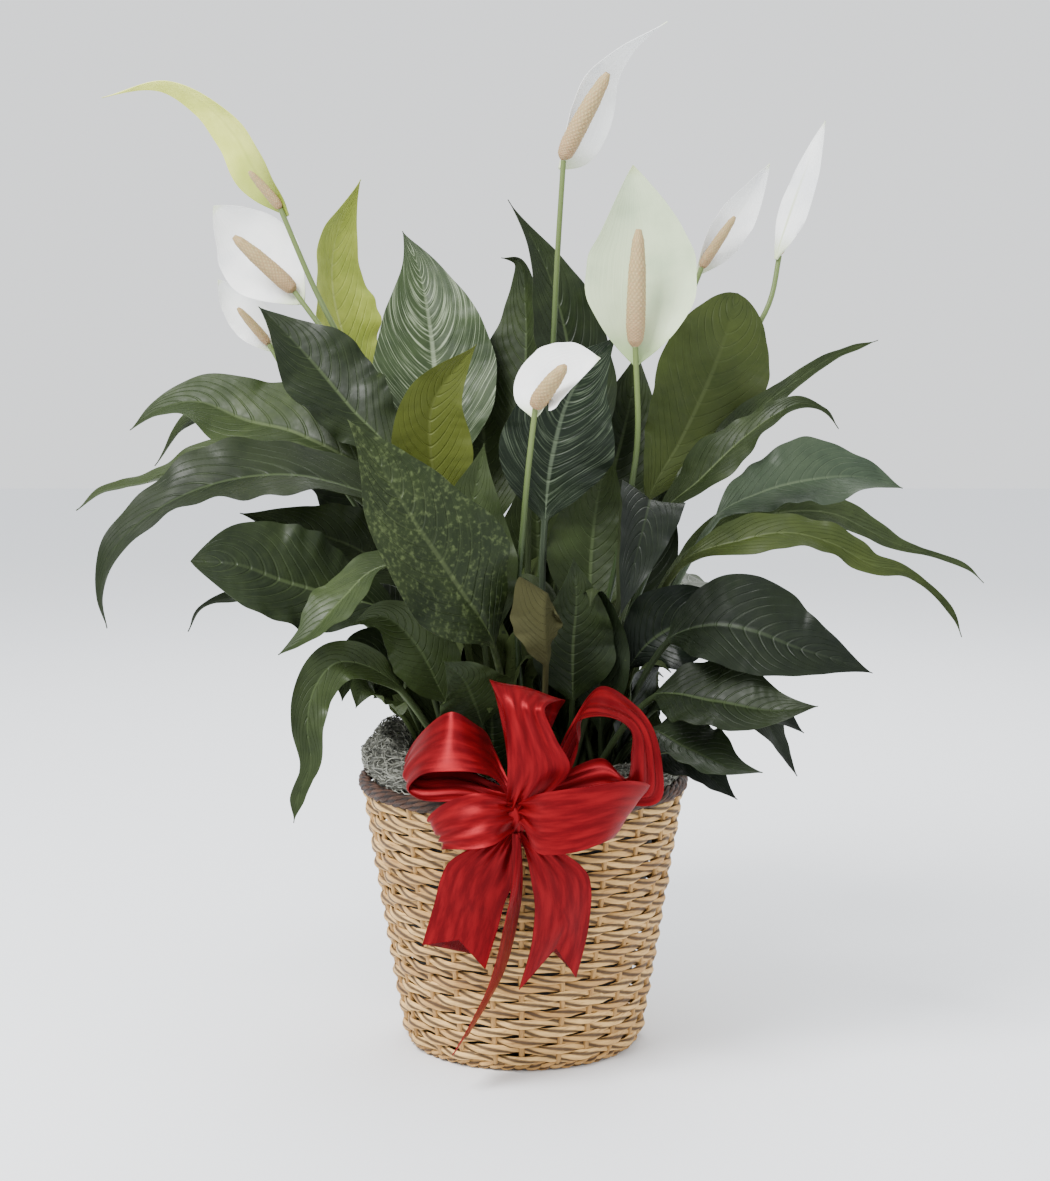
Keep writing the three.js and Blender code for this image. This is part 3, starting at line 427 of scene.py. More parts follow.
def wicker_look(name, pale, mid, dark, groove_shade):
    """Straw strands: each in its own tone, streaked along, with painted shade darkening the grooves between
    its fibres.
    """
    look = Look(name, pale, Specular_IOR_Level=0.35)
    run, turn, depth = look.form()
    tone = look.tone()
    place = look.place()
    streaks = look.noise((run * 0.045, turn * 1.3, tone), 2.6, 4, 0.6)
    share = tone * 0.55 + look.noise(place, 26, 3) * 0.6
    look.paint(mid, share.ramp(0.32, 0.85))
    look.paint(dark, streaks.ramp(0.48, 0.72, 0.0, 0.75))
    # Painted shade: the grooves between the twisted lobes darken to near black.
    look.paint(groove_shade, depth.ramp(0.35, -0.75, 0.0, 0.9))
    return look.done(streaks.ramp(0.3, 0.7, 0.5, 0.78), streaks + look.noise(place, 900, 2), 0.35)


def moss_look():
    look = Look("moss", (0.065, 0.065, 0.048), Specular_IOR_Level=0.2, Sheen_Weight=0.15, Sheen_Roughness=0.6)
    place = look.place()
    share = look.tone() + look.noise(place, 45) * 0.8
    look.paint((0.3, 0.3, 0.25), share.ramp(0.35, 1.45))
    return look.done(look.noise(place, 300).ramp(0.3, 0.7, 0.8, 0.95), look.noise(place, 1500, 2), 0.3)


def soil_look():
    look = Look("soil", (0.014, 0.009, 0.006), Specular_IOR_Level=0.25)
    place = look.place()
    grains = look.noise(place, 420, 5, 0.7)
    look.paint((0.075, 0.047, 0.028), grains.ramp(0.35, 0.62))
    look.paint((0.33, 0.29, 0.22), look.noise(place, 900, 2).ramp(0.66, 0.72, 0.0, 0.7))
    return look.done(grains.ramp(0.3, 0.7, 0.75, 0.95), grains, 1.2)


def pot_look():
    look = Look("pot", (0.018, 0.018, 0.017), Specular_IOR_Level=0.4)
    scuffs = look.noise(look.place((1, 1, 6)), 35, 4)
    look.paint((0.045, 0.045, 0.042), scuffs.ramp(0.4, 0.7))
    return look.done(scuffs.ramp(0.3, 0.7, 0.38, 0.6), look.noise(look.place(), 800, 2), 0.08)


def satin_look():
    """Red satin: soft long streaks of painted sheen, a sheen across the folds and fine threads."""
    look = Look("ribbon", (0.1, 0.003, 0.005), Metallic=0.35, Anisotropic=0.4, Specular_IOR_Level=0.2,
                Specular_Tint=(1.0, 0.25, 0.28))
    k, v, _ = look.form()
    streaks = look.noise((k * 2.2, v * 0.012, 0.0), 2.0, 3)
    threads = look.noise((k * 60.0, v * 0.25, 0.0), 3.0, 2)
    # Painted sheen: long streaks of a brighter red along the ribbon.
    look.paint((0.2, 0.006, 0.009), streaks.ramp(0.35, 0.7))
    look.paint((0.29, 0.016, 0.02), threads.ramp(0.5, 0.8, 0.0, 0.2))
    return look.done(streaks.ramp(0.3, 0.7, 0.3, 0.42), threads, 0.04)


# ---------------- camera, light and floor
CAMERA_AT = (1.3, -1497, 492)
CAMERA_DOWN = 6.49  # degrees
CAMERA_FOCAL = 2138  # pixels, for a frame 1181 pixels high
FRAME_HEIGHT = 1181
SENSOR = 36
SKY = (0.96, 0.98, 1.0)
SKY_STRENGTH = 1.4
LIGHTS_AIM = (0, 0, 330)
LIGHTS = (  # name, place, size in metres and power in watts
    ("key", (-1000, -1200, 1900), 0.9, 90),
    ("fill", (1500, -1300, 1100), 1.2, 6),
    ("back", (300, 1500, 1800), 1.2, 30),
)
FLOOR_REACH = 6000
FLOOR_BELOW = 0.3


def placed(name, data, at=(0, 0, 0), turned=(0, 0, 0)):
    made = bpy.data.objects.new(name, data)
    made.location = [c * MM for c in at]
    made.rotation_euler = turned
    bpy.context.scene.collection.objects.link(made)
    return made


def studio():
    lens = bpy.data.cameras.new("camera")
    lens.sensor_width = SENSOR
    lens.lens = SENSOR * CAMERA_FOCAL / FRAME_HEIGHT
    lens.clip_end = 50
    bpy.context.scene.camera = placed("camera", lens, CAMERA_AT, (np.radians(90 - CAMERA_DOWN), 0, 0))

    world = bpy.data.worlds.new("studio")
    world.use_nodes = True
    sky = world.node_tree.nodes["Background"]
    sky.inputs["Color"].default_value = (*SKY, 1)
    sky.inputs["Strength"].default_value = SKY_STRENGTH
    bpy.context.scene.world = world

    for name, at, size, power in LIGHTS:
        lamp = bpy.data.lights.new(name, "AREA")
        lamp.size = size
        lamp.energy = power
        x, y, z = np.array(LIGHTS_AIM) - at
        placed(name, lamp, at, (np.arctan2(np.hypot(x, y), -z), 0, np.arctan2(y, x) - pi / 2))

    floor = bpy.data.meshes.new("floor")
    corners = ((-1, -1), (1, -1), (1, 1), (-1, 1))
    floor.from_pydata([(x * FLOOR_REACH * MM, y * FLOOR_REACH * MM, -FLOOR_BELOW * MM) for x, y in corners],
                      [], [(0, 1, 2, 3)])
    look = Look("floor", (0.9, 0.92, 0.95), Roughness=0.9, Specular_IOR_Level=0.1)
    look.set(Base_Color=look.colour)
    floor.materials.append(look.material)
    placed("floor", floor)


# ---------------- basket
def wall_radius(z):
    height, inset = FOOT_ROUND
    return mix(BASKET_BASE_R, BASKET_RIM_R, z / BASKET_H) - inset * np.maximum(0, 1 - z / height) ** 2


def strand(centre, half_depth, half_height, tone, sides=12):
    """A bundle of straw along a closed line: an oval section whose few lobes twist along it."""
    t = unit(np.roll(centre, -1, axis=0) - np.roll(centre, 1, axis=0))
    out = unit(np.cross(t, np.array([0.0, 0.0, 1.0])))
    up = np.cross(out, t)
    run = np.cumsum(np.linalg.norm(np.roll(centre, -1, axis=0) - centre, axis=1))
    turn = circle(sides)
    turns = np.round(run[-1] / STRAW_TWIST)
    lobe = cos(STRAW_LOBES * turn + 2 * pi * turns * (run / run[-1])[:, None])
    r = (1 + 0.1 * noise_along(run / 9, int(tone * 1000))[:, None]) * (1 + 0.15 * lobe)
    depth = np.reshape(half_depth, (-1, 1)) * r * cos(turn)
    height = np.reshape(half_height, (-1, 1)) * r * sin(turn)
    rings = centre[:, None] + depth[..., None] * out[:, None] + height[..., None] * up[:, None]
    return loft(rings, joined(run[:, None], turn, lobe), tone, closed=True)


def weave_rows():
    skins = []
    turn = circle(STAKES * 10)
    half_depth, half_height = STRAND_HALF
    for row in range(WEAVE_ROWS):
        z = mix(WEAVE_FROM, WEAVE_TO, row / (WEAVE_ROWS - 1))
        passing = STAKES / 2 * turn + pi * row
        around = ring_of(2.2, row * 3.0, turn)
        level = z + 0.75 * sin(passing) + 0.8 * noise(around, 3)
        swing = WEAVE_DEPTH * cos(passing) * (1 + 0.2 * noise(around * 2, 5))
        middle = wall_radius(z) - half_depth + swing + 0.4 * noise(around * 3, 8)
        thick = 1 + 0.16 * noise(around * 4, 9)
        line = ring_of(middle, level, turn)
        skins.append(strand(line, half_depth * thick, half_height * thick, rng.random()))
    return skins


def weave_stakes():
    skins = []
    heights = linspace(3, BASKET_H - RIM_H + 1, 26)
    for stake in range(STAKES):
        turn = 2 * pi * (stake + 0.12 * rng.normal()) / STAKES
        lean = turn + 0.02 * noise_along(heights / 40, stake)
        line = ring_of(wall_radius(heights) - WEAVE_DEPTH - 0.3, heights, lean)
        skins.append(tube(line, 2.0, 8, 0.75 + 0.2 * rng.random()))
    return skins


def weave_foot():
    """A plaited foot round the corner, and the flat woven floor inside it."""
    skins = []
    stations = 240
    turn = circle(stations)
    foot_r = wall_radius(4)
    for ply in range(2):
        spin = 30 * turn + pi * ply
        line = ring_of(foot_r - 3.2 + 1.5 * cos(spin), 4.1 + 1.4 * sin(spin), turn)
        skins.append(strand(line, 2.6, 2.6, 0.8 + 0.1 * ply))
    radius = foot_r - 9
    row = 0
    while radius > 8:
        passing = FLOOR_SPOKES * turn + pi * row
        count = max(2, int(stations * radius / 75) // (2 * FLOOR_SPOKES)) * 2 * FLOOR_SPOKES
        pick = linspace(0, stations, count, endpoint=False).astype(int)
        line = ring_of(radius, 4.2 + 1.1 * cos(passing), turn)[pick]
        skins.append(strand(line, 3.0, 1.8, rng.random()))
        radius -= FLOOR_ROW
        row += 1
    for spoke in range(FLOOR_SPOKES):
        reach = linspace(4 - foot_r, foot_r - 4, 12)
        skins.append(tube(ring_of(reach, 4.2, pi * spoke / FLOOR_SPOKES), 1.6, 6, 0.8))
    return skins


def basket_rim():
    """The rolled border: plies that wind round a core."""
    skins = []
    turn = circle(420)
    middle = BASKET_H - RIM_H / 2
    for ply in range(RIM_PLIES):
        spin = RIM_WINDS * turn + 2 * pi * ply / RIM_PLIES
        r = RIM_MID_R + (RIM_DEPTH / 2 - 2.3) * cos(spin)
        z = middle + (RIM_H / 2 - 2.5) * sin(spin)
        skins.append(strand(ring_of(r, z, turn), 2.3, 2.6, rng.random(), sides=10))
    skins.append(strand(ring_of(RIM_MID_R, middle, turn), 2.6, 3.4, 0.5, sides=8))
    return skins


# ---------------- pot, soil and moss
def lathe(profile, sides=96, shift=lambda rings: 0):
    """A skin turned round the upright axis; the profile runs from axis to axis, or round a wall."""
    rings = np.stack([ring_of(r, z, circle(sides)) for r, z in profile])
    return loft(rings + shift(rings))


def grow_pot():
    low = POT_RIM_Z - POT_BAND
    inner_floor = POT_FLOOR_Z + POT_WALL
    return [lathe([
        (1, POT_FLOOR_Z), (POT_BASE_R - 1.5, POT_FLOOR_Z), (POT_BASE_R, POT_FLOOR_Z + 1.5),
        (POT_TOP_R - POT_LIP, low), (POT_TOP_R - 0.5, low + 1.6), (POT_TOP_R, low + 2.2),
        (POT_TOP_R, POT_RIM_Z - 0.5), (POT_TOP_R - 0.6, POT_RIM_Z), (POT_TOP_R - POT_WALL, POT_RIM_Z - 0.3),
        (POT_TOP_R - POT_LIP - POT_WALL, low + 1), (POT_BASE_R - POT_WALL, inner_floor), (1, inner_floor)])]


def crumbly(rings):
    """How far the soil's top is raised: lumps of three sizes."""
    on_top = (rings[..., 2:] > SOIL_Z - 1) * np.array([0, 0, 1.0])
    lumps = 1.6 * noise(rings / 9, 2) + 1.1 * noise(rings / 3.5, 4) + 0.7 * noise(rings / 1.6, 6)
    return on_top * (lumps[..., None] - 1.5)


def soil():
    clear = POT_WALL + 2 * GAP
    wall = POT_TOP_R - POT_LIP - clear
    under = POT_FLOOR_Z + POT_WALL + GAP
    profile = [(1, under), (POT_BASE_R - clear, under), (wall - 1, POT_RIM_Z - POT_BAND)]
    profile += [(r, SOIL_Z) for r in linspace(wall, 1, 46)]
    skins = [lathe(profile, 150, crumbly)]
    for _ in range(SOIL_CRUMBS):
        turn, r = rng.random() * 2 * pi, wall * np.sqrt(rng.random()) * 0.98
        size = rng.uniform(1.0, 2.6)
        aim = unit(rng.normal(size=3)) * size
        line = ring_of(r, SOIL_Z + 0.2 * size, turn) + np.outer(linspace(-1, 1, 5), aim)
        skins.append(tube(line, size * np.array([0.3, 0.85, 1, 0.8, 0.3]), 6, rng.random()))
    return skins


def moss_section(turn):
    """The heaped section at an angle, from the pot's lip over the border and back, as 8 corners."""
    left = np.maximum(0, -cos(turn)) ** 2
    top = MOSS_TOP + MOSS_LEFT_RISE * left + 2.6 * sin(5 * turn + 0.7) + 2.2 * sin(9 * turn + 2.1)
    outer = MOSS_OUTER_R + 1.5 * sin(7 * turn)
    over_rim = BASKET_H + GAP
    inside_rim = RIM_MID_R - RIM_DEPTH / 2 - 0.8
    corners = (
        (MOSS_INNER_R + 2, POT_RIM_Z + 0.4), (inside_rim - 4, POT_RIM_Z + 0.4), (inside_rim, over_rim),
        (outer - 2, over_rim + 0.4), (outer, mix(over_rim, top, 0.5)), (outer - 12, top),
        (MOSS_INNER_R + 6, mix(over_rim, top, 0.6)), (MOSS_INNER_R, mix(POT_RIM_Z, top, 0.3)))
    return np.stack([joined(r, z, turn)[..., :2] for r, z in corners], -2)


def moss_outline(section, at):
    """Distance from the axis and height at a number of corners along the sections."""
    corners = section.shape[1]
    low = np.floor(at).astype(int)
    row = np.arange(len(section)).reshape(-1, *[1] * (at.ndim - 1))
    flat = mix(section[row, low % corners], section[row, (low + 1) % corners], (at - low)[..., None])
    return flat[..., 0], flat[..., 1]


def moss():
    """A lumpy bed, with thin curled threads all over what shows of it."""
    turn = circle(200)
    r, z = moss_outline(moss_section(turn), np.arange(32)[None, :] / 4)
    rings = ring_of(r, z, turn[:, None])
    inward = unit(ring_of(96, 197.0, turn)[:, None] - rings)
    depth = 2.2 + 1.6 * noise(rings / 7, 3) + 0.9 * noise(rings / 3, 4)
    bed = loft(rings + inward * depth[..., None], tone=0.15, closed=True)
    return [bed] + [moss_thread() for _ in range(MOSS_THREADS)]


def moss_thread():
    """One curled thread that lies over the bed, mostly on its top and outer side."""
    turn = rng.random() * 2 * pi
    corner = rng.choice([3.2, 3.8, 4.4, 5.0, 5.5, 6.0, 6.5]) + 0.5 * rng.random()
    run = linspace(0, 1, 11)
    length = rng.uniform(12, 34)
    drift = rng.uniform(-1, 1)
    turns = turn + run * length / 100 * rng.choice([-1, 1])
    r, z = moss_outline(moss_section(turns), np.clip(corner + drift * run * length / 22, 2.9, 7.4))
    coil = rng.uniform(1.0, 3.2)
    phase = rng.uniform(0, 6.28) + run * rng.uniform(5, 15)
    line = ring_of(r + coil * cos(phase) * 0.6, z + coil * (sin(phase) * 0.6 + 0.1),
                   turns + coil * cos(phase * 0.7) / 90)
    return tube(line, linspace(0.55, 0.25, len(run)), 3, rng.random())


# ---------------- blades
LEAF = dict(peak=0.38, taper=1.25, fold=12, cup=0.1, twist=0, tail=0, wave=4, waves=2.2, phase=0, stem=2.2,
            steps=8)
SMALL = dict(stem=1.9, steps=6)
SPATHE = dict(peak=0.4, taper=0.95, fold=3, cup=0.25, wave=1, waves=1.5, stem=1.3)


def route(text):
    """Points written as x,y,z with spaces between them."""
    return [[float(number) for number in point.split(",")] for point in text.split()]


def blade(width, face, points, **more):
    """What a leaf or a spathe is made from: its width, where its upper face looks, and its points."""
    return dict(width=width, face=face, points=route(points), **more)


LEAVES = {
    # back row, tall
    "leaf_back_left_of_centre": blade(90, (0.05, -1, 0.25),
        "-57,50,398 -63,66,461 -69,80,512 -77,92,550 -89,98,577", root=(-16, 24), fold=9, waves=2.4,
        phase=2.4, green="leaf_sheen_banded"),
    "leaf_back_far_left": blade(66, (0.8, -0.55, 0.15),
        "-113,84,457 -134,96,503 -142,104,538 -140,111,571 -121,118,616", root=(-30, 33), phase=0.6, steps=9,
        slot="pale_leaf", green="leaf_lime"),
    "leaf_back_hooked": blade(56, (-0.5, -0.8, 0.2), "4,60,404 2,74,468 2,82,519 -3,84,554 -16,82,557",
        root=(0, 31), waves=2, phase=1.2, steps=9),
    "leaf_back_right_of_centre": blade(62, (0.4, -0.88, 0.2),
        "31,28,398 36,38,455 28,46,511 12,50,558 -11,54,597", root=(11, 20), taper=1.7, waves=2, phase=3.4),
    "leaf_right_broad": blade(80, (0.1, -0.97, 0.1), "88,16,384 112,28,426 132,42,466 146,56,500 156,72,531",
        root=(27, 8), fold=6, cup=0.05, peak=0.6, taper=0.6, wave=7, waves=2.8, phase=1, slot="pale_leaf",
        green="leaf_broad"),
    # left side, from the top down
    "leaf_left_upright": blade(64, (0.2, -0.9, 0.4),
        "-85,12,406 -123,25,450 -151,38,482 -173,46,505 -190,50,521", root=(-29, 6), peak=0.5, wave=6,
        waves=2.8, phase=0.4),
    "leaf_left_upper": blade(76, (0, -0.75, 0.65),
        "-100,34,388 -160,58,428 -204,74,439 -240,84,452 -270,88,446 -291,88,431", root=(-40, 17), wave=5,
        waves=2.6, phase=0.9, steps=10, green="leaf_pale_and_lit"),
    "leaf_left_flap": blade(50, (0, -0.35, 0.95),
        "-109,4,380 -158,8,406 -215,14,410 -266,18,397 -298,18,390 -317,16,377", root=(-42, 3), tail=7,
        wave=5, waves=2.8, phase=2, steps=9),
    "leaf_left_long": blade(60, (-0.1, -0.55, 0.8),
        "-76,-12,366 -138,-38,402 -190,-50,404 -238,-60,388 -274,-66,358 -284,-68,326 -280,-70,304",
        root=(-41, -11), wave=5, waves=2.6, phase=4, steps=9, green="leaf_shaded_dusk"),
    "leaf_left_middle": blade(74, (-0.1, -0.8, 0.6),
        "-85,-55,308 -130,-72,327 -161,-84,338 -188,-92,349 -219,-96,352", root=(-45, -23), peak=0.6,
        taper=0.85, wave=5, waves=2.3, phase=5),
    "leaf_left_pale": blade(36, (-0.6, -0.7, 0.4),
        "-62,-84,336 -80,-98,350 -99,-114,347 -117,-130,330 -137,-138,309 -157,-140,296", root=(-33, -33),
        peak=0.6, phase=2.2, stem=1.9, steps=6, slot="pale_leaf", green="leaf_pale_and_lit"),
    "leaf_left_hanging": blade(28, (-0.5, -0.85, 0.1),
        "-81,-92,265 -104,-116,286 -122,-132,289 -134,-142,274 -138,-148,252 -136,-150,228 -144,-152,206 "
        "-147,-152,189", root=(-35, -45), tail=5, waves=2.6, phase=3, twist=70, steps=9),
    # middle
    "leaf_middle_olive": blade(56, (0.1, -0.95, 0.2), "-55,-8,372 -64,-18,421 -61,-22,456 -32,-20,494",
        root=(-10, -7), wave=3, phase=2, steps=9, slot="pale_leaf", green="leaf_olive"),
    "leaf_middle_striped": blade(78, (0.2, -0.95, 0.2), "15,-12,372 21,-20,422 34,-24,463 64,-20,500",
        root=(12, -14), waves=2, phase=0.2, green="leaf_sheen_striped"),
    "leaf_front_tall": blade(86, (0.3, -0.85, 0.4),
        "-20,-95,296 -45,-118,342 -73,-124,385 -98,-120,426 -113,-118,446", root=(-6, -50), fold=9, phase=1.5,
        green="leaf_painted_glints"),
    "leaf_front_small": blade(46, (0, 0.95, 0.3), "15,-98,283 14,-108,304 14,-107,324 16,-95,330 18,-82,316",
        root=(11, -54), peak=0.6, phase=0.5, stem=1.9, steps=6, slot="pale_leaf", green="leaf_brownish"),
    "leaf_front_right": blade(44, (0.1, -0.9, 0.4), "66,-44,319 84,-78,391 75,-118,365 62,-142,321",
        root=(29, -34), peak=0.5, phase=2.6, steps=9, green="leaf_shaded_deep"),
    # right side, from the top down
    "leaf_right_slim": blade(17, (-0.4, -0.75, 0.5),
        "103,12,388 143,20,429 172,28,452 197,34,470 223,42,486 255,50,497", root=(38, 18), tail=2.5, wave=3,
        waves=2.6, phase=1.1, twist=90, steps=9),
    "leaf_right_curled": blade(34, (-0.35, -0.7, 0.6),
        "92,-16,371 122,-28,402 148,-34,428 171,-38,446 188,-40,454 205,-42,449 214,-44,437", root=(37, -10),
        taper=1.8, tail=1.8, wave=5, phase=3.1, green="leaf_lit_mid"),
    "leaf_right_upper": blade(60, (0, -0.7, 0.7), "138,17,372 168,20,389 204,24,398 240,26,400 271,28,392",
        root=(45, 4), peak=0.5, wave=5, phase=0.7, green="leaf_painted_sheen"),
    "leaf_right_long": blade(38, (0, -0.85, 0.5),
        "113,50,338 163,72,363 196,82,371 230,88,369 256,93,357 278,96,346 312,98,336 334,99,327 346,100,316",
        root=(48, 24), peak=0.34, taper=2.6, tail=2.7, waves=2.8, phase=2.3, steps=9, green="leaf_pale_and_lit"),
    "leaf_right_twisted": blade(30, (0, -0.75, 0.6),
        "107,-30,341 151,-46,362 180,-52,367 209,-55,360 235,-57,346 258,-58,341 278,-60,327 292,-61,310 "
        "297,-62,297", root=(52, -8), peak=0.3, taper=2, tail=2.8, waves=2.8, phase=4.2, steps=9,
        green="leaf_broad"),
    "leaf_right_low": blade(68, (0.1, -0.9, 0.45),
        "98,-64,294 126,-83,308 153,-92,305 180,-98,295 207,-102,287 230,-106,279", root=(47, -25), taper=1.3,
        tail=3, waves=2.4, phase=1.9, green="leaf_shaded_deep"),
    "leaf_right_lower": blade(62, (0, -0.7, 0.7), "88,-76,258 126,-104,260 164,-119,256 192,-124,260",
        root=(39, -38), phase=0.2, green="leaf_shaded_dusk"),
}

CROWNS = {
    "crown_left": dict(root=(-56, -8), leaves=[
        blade(28, (0, -0.4, 0.9), "-108,-20,300 -155,-30,315 -196,-36,321 -221,-40,314 -230,-42,298", taper=2,
            tail=2, phase=1),
        blade(50, (-0.2, -0.8, 0.6), "-84,-40,256 -104,-54,278 -120,-66,274 -122,-74,255", phase=2),
        blade(40, (-0.3, -0.6, 0.75), "-84,-46,242 -98,-62,256 -108,-76,262 -112,-84,252", phase=3),
        blade(50, (0, -0.8, 0.6), "-80,-6,322 -112,-12,350 -152,-18,366 -196,-22,378", phase=6),
    ]),
    "crown_front": dict(root=(-20, -43), leaves=[
        blade(48, (0, -0.8, 0.6), "-52,-80,256 -72,-94,298 -92,-101,316 -113,-102,311", phase=4),
        blade(60, (0.1, -1, 0.1), "-26,-60,290 -34,-66,340 -34,-64,384 -26,-58,428", phase=1),
        blade(56, (0.1, -0.9, 0.3), "-28,-80,240 -34,-96,262 -40,-106,276 -52,-112,288", phase=3),
    ]),
    # Painted shade: these crown leaves take a green made darker for the shaded core of the plant.
    "crown_right": dict(root=(56, -22), green="leaf_shaded_dark", leaves=[
        blade(36, (0.1, -0.5, 0.85), "112,-18,240 146,-36,246 166,-43,236 178,-45,216 189,-46,198", phase=1),
        blade(58, (0, -1, 0.2), "74,-32,272 98,-37,298 126,-39,305 160,-38,294", phase=2),
        blade(58, (0, -0.6, 0.8), "92,-36,244 135,-50,250 173,-54,242 192,-56,230"),
        blade(50, (0, -0.6, 0.8), "84,-62,232 108,-100,228 137,-120,218 156,-128,217", phase=5),
        blade(40, (0.1, -0.7, 0.7), "76,-56,224 110,-82,216 143,-95,192", phase=3),
    ]),
    "crown_back_left": dict(root=(-28, 47), steps=5, leaves=[
        blade(26, (0, -0.6, 0.8), "-144,96,400 -213,108,438 -248,112,439 -278,116,403", phase=1),
        blade(72, (-0.2, 0.5, 0.85), "-60,110,330 -80,165,380 -92,215,375 -100,250,340", phase=2),
        blade(62, (-0.5, 0.4, 0.8), "-90,85,290 -130,125,322 -165,155,318 -190,175,290", phase=4),
        blade(68, (0, -1, 0.2), "-56,90,380 -80,98,430 -92,98,466 -94,96,500"),
        blade(74, (0, -0.9, 0.4), "-80,100,330 -118,120,372 -150,128,394 -184,128,392", phase=3),
        blade(66, (0, -1, 0.2), "-24,76,360 -28,88,410 -30,94,450 -26,98,496", phase=5),
        blade(74, (0, -1, 0.1), "-50,70,240 -56,78,290 -60,82,330 -62,84,366", phase=2),
    ]),
    "crown_back_right": dict(root=(30, 47), steps=5, leaves=[
        blade(74, (0.2, 0.5, 0.85), "50,115,340 62,170,388 72,220,380 78,256,345", phase=1),
        blade(62, (0.5, 0.4, 0.8), "90,90,285 122,132,312 150,165,302 168,190,270", phase=3),
        blade(60, (0, 0.5, 0.85), "4,105,270 -10,160,305 -18,205,292 -22,235,258", phase=5),
        blade(66, (-0.1, -1, 0.1), "52,60,360 68,66,410 78,70,452 84,74,490"),
        blade(74, (0, -1, 0.1), "14,72,262 12,74,320 10,76,372 8,76,416", phase=4),
        blade(60, (0.2, -1, 0.1), "66,80,262 82,88,316 96,94,364 106,98,408", phase=2),
    ]),
    "crown_middle_right": dict(root=(34, -1), leaves=[
        blade(62, (0, -1, 0.3), "46,-12,300 48,-2,350 54,6,394 64,10,424", phase=4),
        blade(56, (0.1, -1, 0.2), "34,-40,250 34,-52,290 36,-60,322 34,-66,352", phase=3),
    ]),
}

BLOOMS = {
    "bloom_top": blade(36, (0.5, -0.8, -0.3), "36,25,630 46,26,656 52,20,676 69,12,695 99,4,714",
        root=(-2, 12), stalk=route("11,10,314 21,16,490 24,16,555 28,12,621"), spadix=(58, -6, 678), knob=6.5,
        peak=0.28, taper=1.7),
    "bloom_right_of_centre": blade(76, (0, -1, 0.05), "79,-28,520 80,-24,566 74,-34,614", root=(19, -3),
        stalk=route("52,-30,291 75,-40,405 78,-40,435 76,-40,492"), spadix=(77, -54, 570), knob=6.5,
        hood="cream"),
    "bloom_middle": blade(47, (0.1, -0.8, 0.55), "11,-76,462 20,-81,470 34,-91,479 50,-105,485",
        root=(2, -29), stalk=route("-4,-62,323 -1,-69,360 3,-77,407 8,-86,452"), spadix=(27, -114, 480),
        knob=6),
    "bloom_left": blade(60, (0, -1, 0.1), "-188,86,552 -207,88,575 -225,78,594", root=(-22, 16),
        stalk=route("-92,42,433 -134,58,490 -166,70,532"), spadix=(-208, 58, 571), knob=6, peak=0.45,
        taper=0.8),
    "bloom_far_left": blade(36, (-0.8, -0.5, 0.3),
        "-195,75,621 -208,77,644 -229,72,666 -258,64,679 -299,50,668", root=(-17, 6),
        stalk=route("-108,42,447 -130,52,494 -152,62,537 -175,66,591"), spadix=(-196, 56, 617), knob=3.6,
        peak=0.25, taper=1.6, hood="green"),
    "bloom_right": blade(24, (0.6, 0.8, 0.1), "196,92,589 207,92,621 220,88,656", root=(30, 29),
        stalk=route("158,70,483 181,84,526 188,90,559"), spadix=(201, 108, 606), knob=3.6),
    "bloom_back": blade(30, (0.3, -0.9, 0), "153,138,578 170,140,604 185,134,629", root=(43, 38),
        stalk=route("116,110,505 134,128,551"), spadix=(158, 121, 589), knob=4),
    "bloom_back_left": blade(32, (0, -1, 0.2), "-204,122,512 -218,122,528 -228,116,542", root=(-14, 38),
        stalk=route("-144,92,439 -175,106,471 -190,112,494"), spadix=(-212, 104, 521), knob=3.6, taper=0.8),
}

LOOPS = [
    (  # left
        "-7,-134,200 -23,-102,237 -31,-111,246 -47,-115,255 -72,-100,234 -79,-102,219 -72,-110,216 "
        "-43,-114,218 -12,-128,207",
        "-3,-140,194 -17,-134,213 -28,-140,219 -47,-139,220 -67,-135,217 -76,-130,206 -67,-136,200 "
        "-38,-141,200 -8,-140,196"),
    (  # middle
        "-11,-139,193 -10,-150,222 -10,-152,244 -13,-150,263 -21,-138,280 -18,-112,265 -11,-110,229 "
        "-8,-130,195",
        "3,-141,194 30,-144,223 21,-146,243 14,-146,262 27,-128,265 23,-106,253 11,-108,224 1,-130,195"),
    (  # right
        "-4,-132,198 17,-104,217 31,-98,242 52,-96,268 73,-104,257 83,-114,244 90,-119,219 89,-119,197 "
        "58,-126,195 27,-132,195 -1,-134,196",
        "2,-138,193 25,-122,208 37,-118,233 36,-126,250 54,-133,254 68,-135,246 69,-134,231 67,-130,214 "
        "52,-116,224 24,-118,213 1,-131,199"),
    (  # lower left
        "-6,-140,202 -29,-146,207 -50,-142,200 -62,-130,186 -54,-120,182 -28,-124,190 -7,-130,195",
        "-6,-142,182 -20,-160,176 -38,-158,173 -51,-146,171 -46,-134,170 -24,-134,179 -7,-134,188"),
    (  # lower right
        "-2,-141,202 16,-156,210 43,-162,215 68,-154,217 82,-136,210 69,-122,203 32,-124,198 -1,-130,194",
        "-1,-143,184 10,-160,171 32,-166,173 52,-158,178 60,-142,178 53,-130,175 25,-130,178 -2,-134,187"),
]

TAILS = [
    ("-8,-137,180 -30,-130,146 -38,-121,118 -46,-116,90", (-21, 1, 8), 13),  # left
    ("-4,-139,180 -5,-140,140 -16,-130,84 -28,-122,56 -42,-116,30", (5, 14, 2), 6),  # edge-on
    ("0,-137,180 24,-128,146 25,-121,110 16,-115,72", (19, 10, 1), 26),  # right
]


def outline(v, peak, taper):
    rise = sin(pi / 2 * np.clip(v / peak, 0, 1)) ** 0.9
    fall = np.maximum(0, cos(pi / 2 * np.clip((v - peak) / (1 - peak), 0, 1))) ** taper
    return np.where(v < peak, rise, fall)


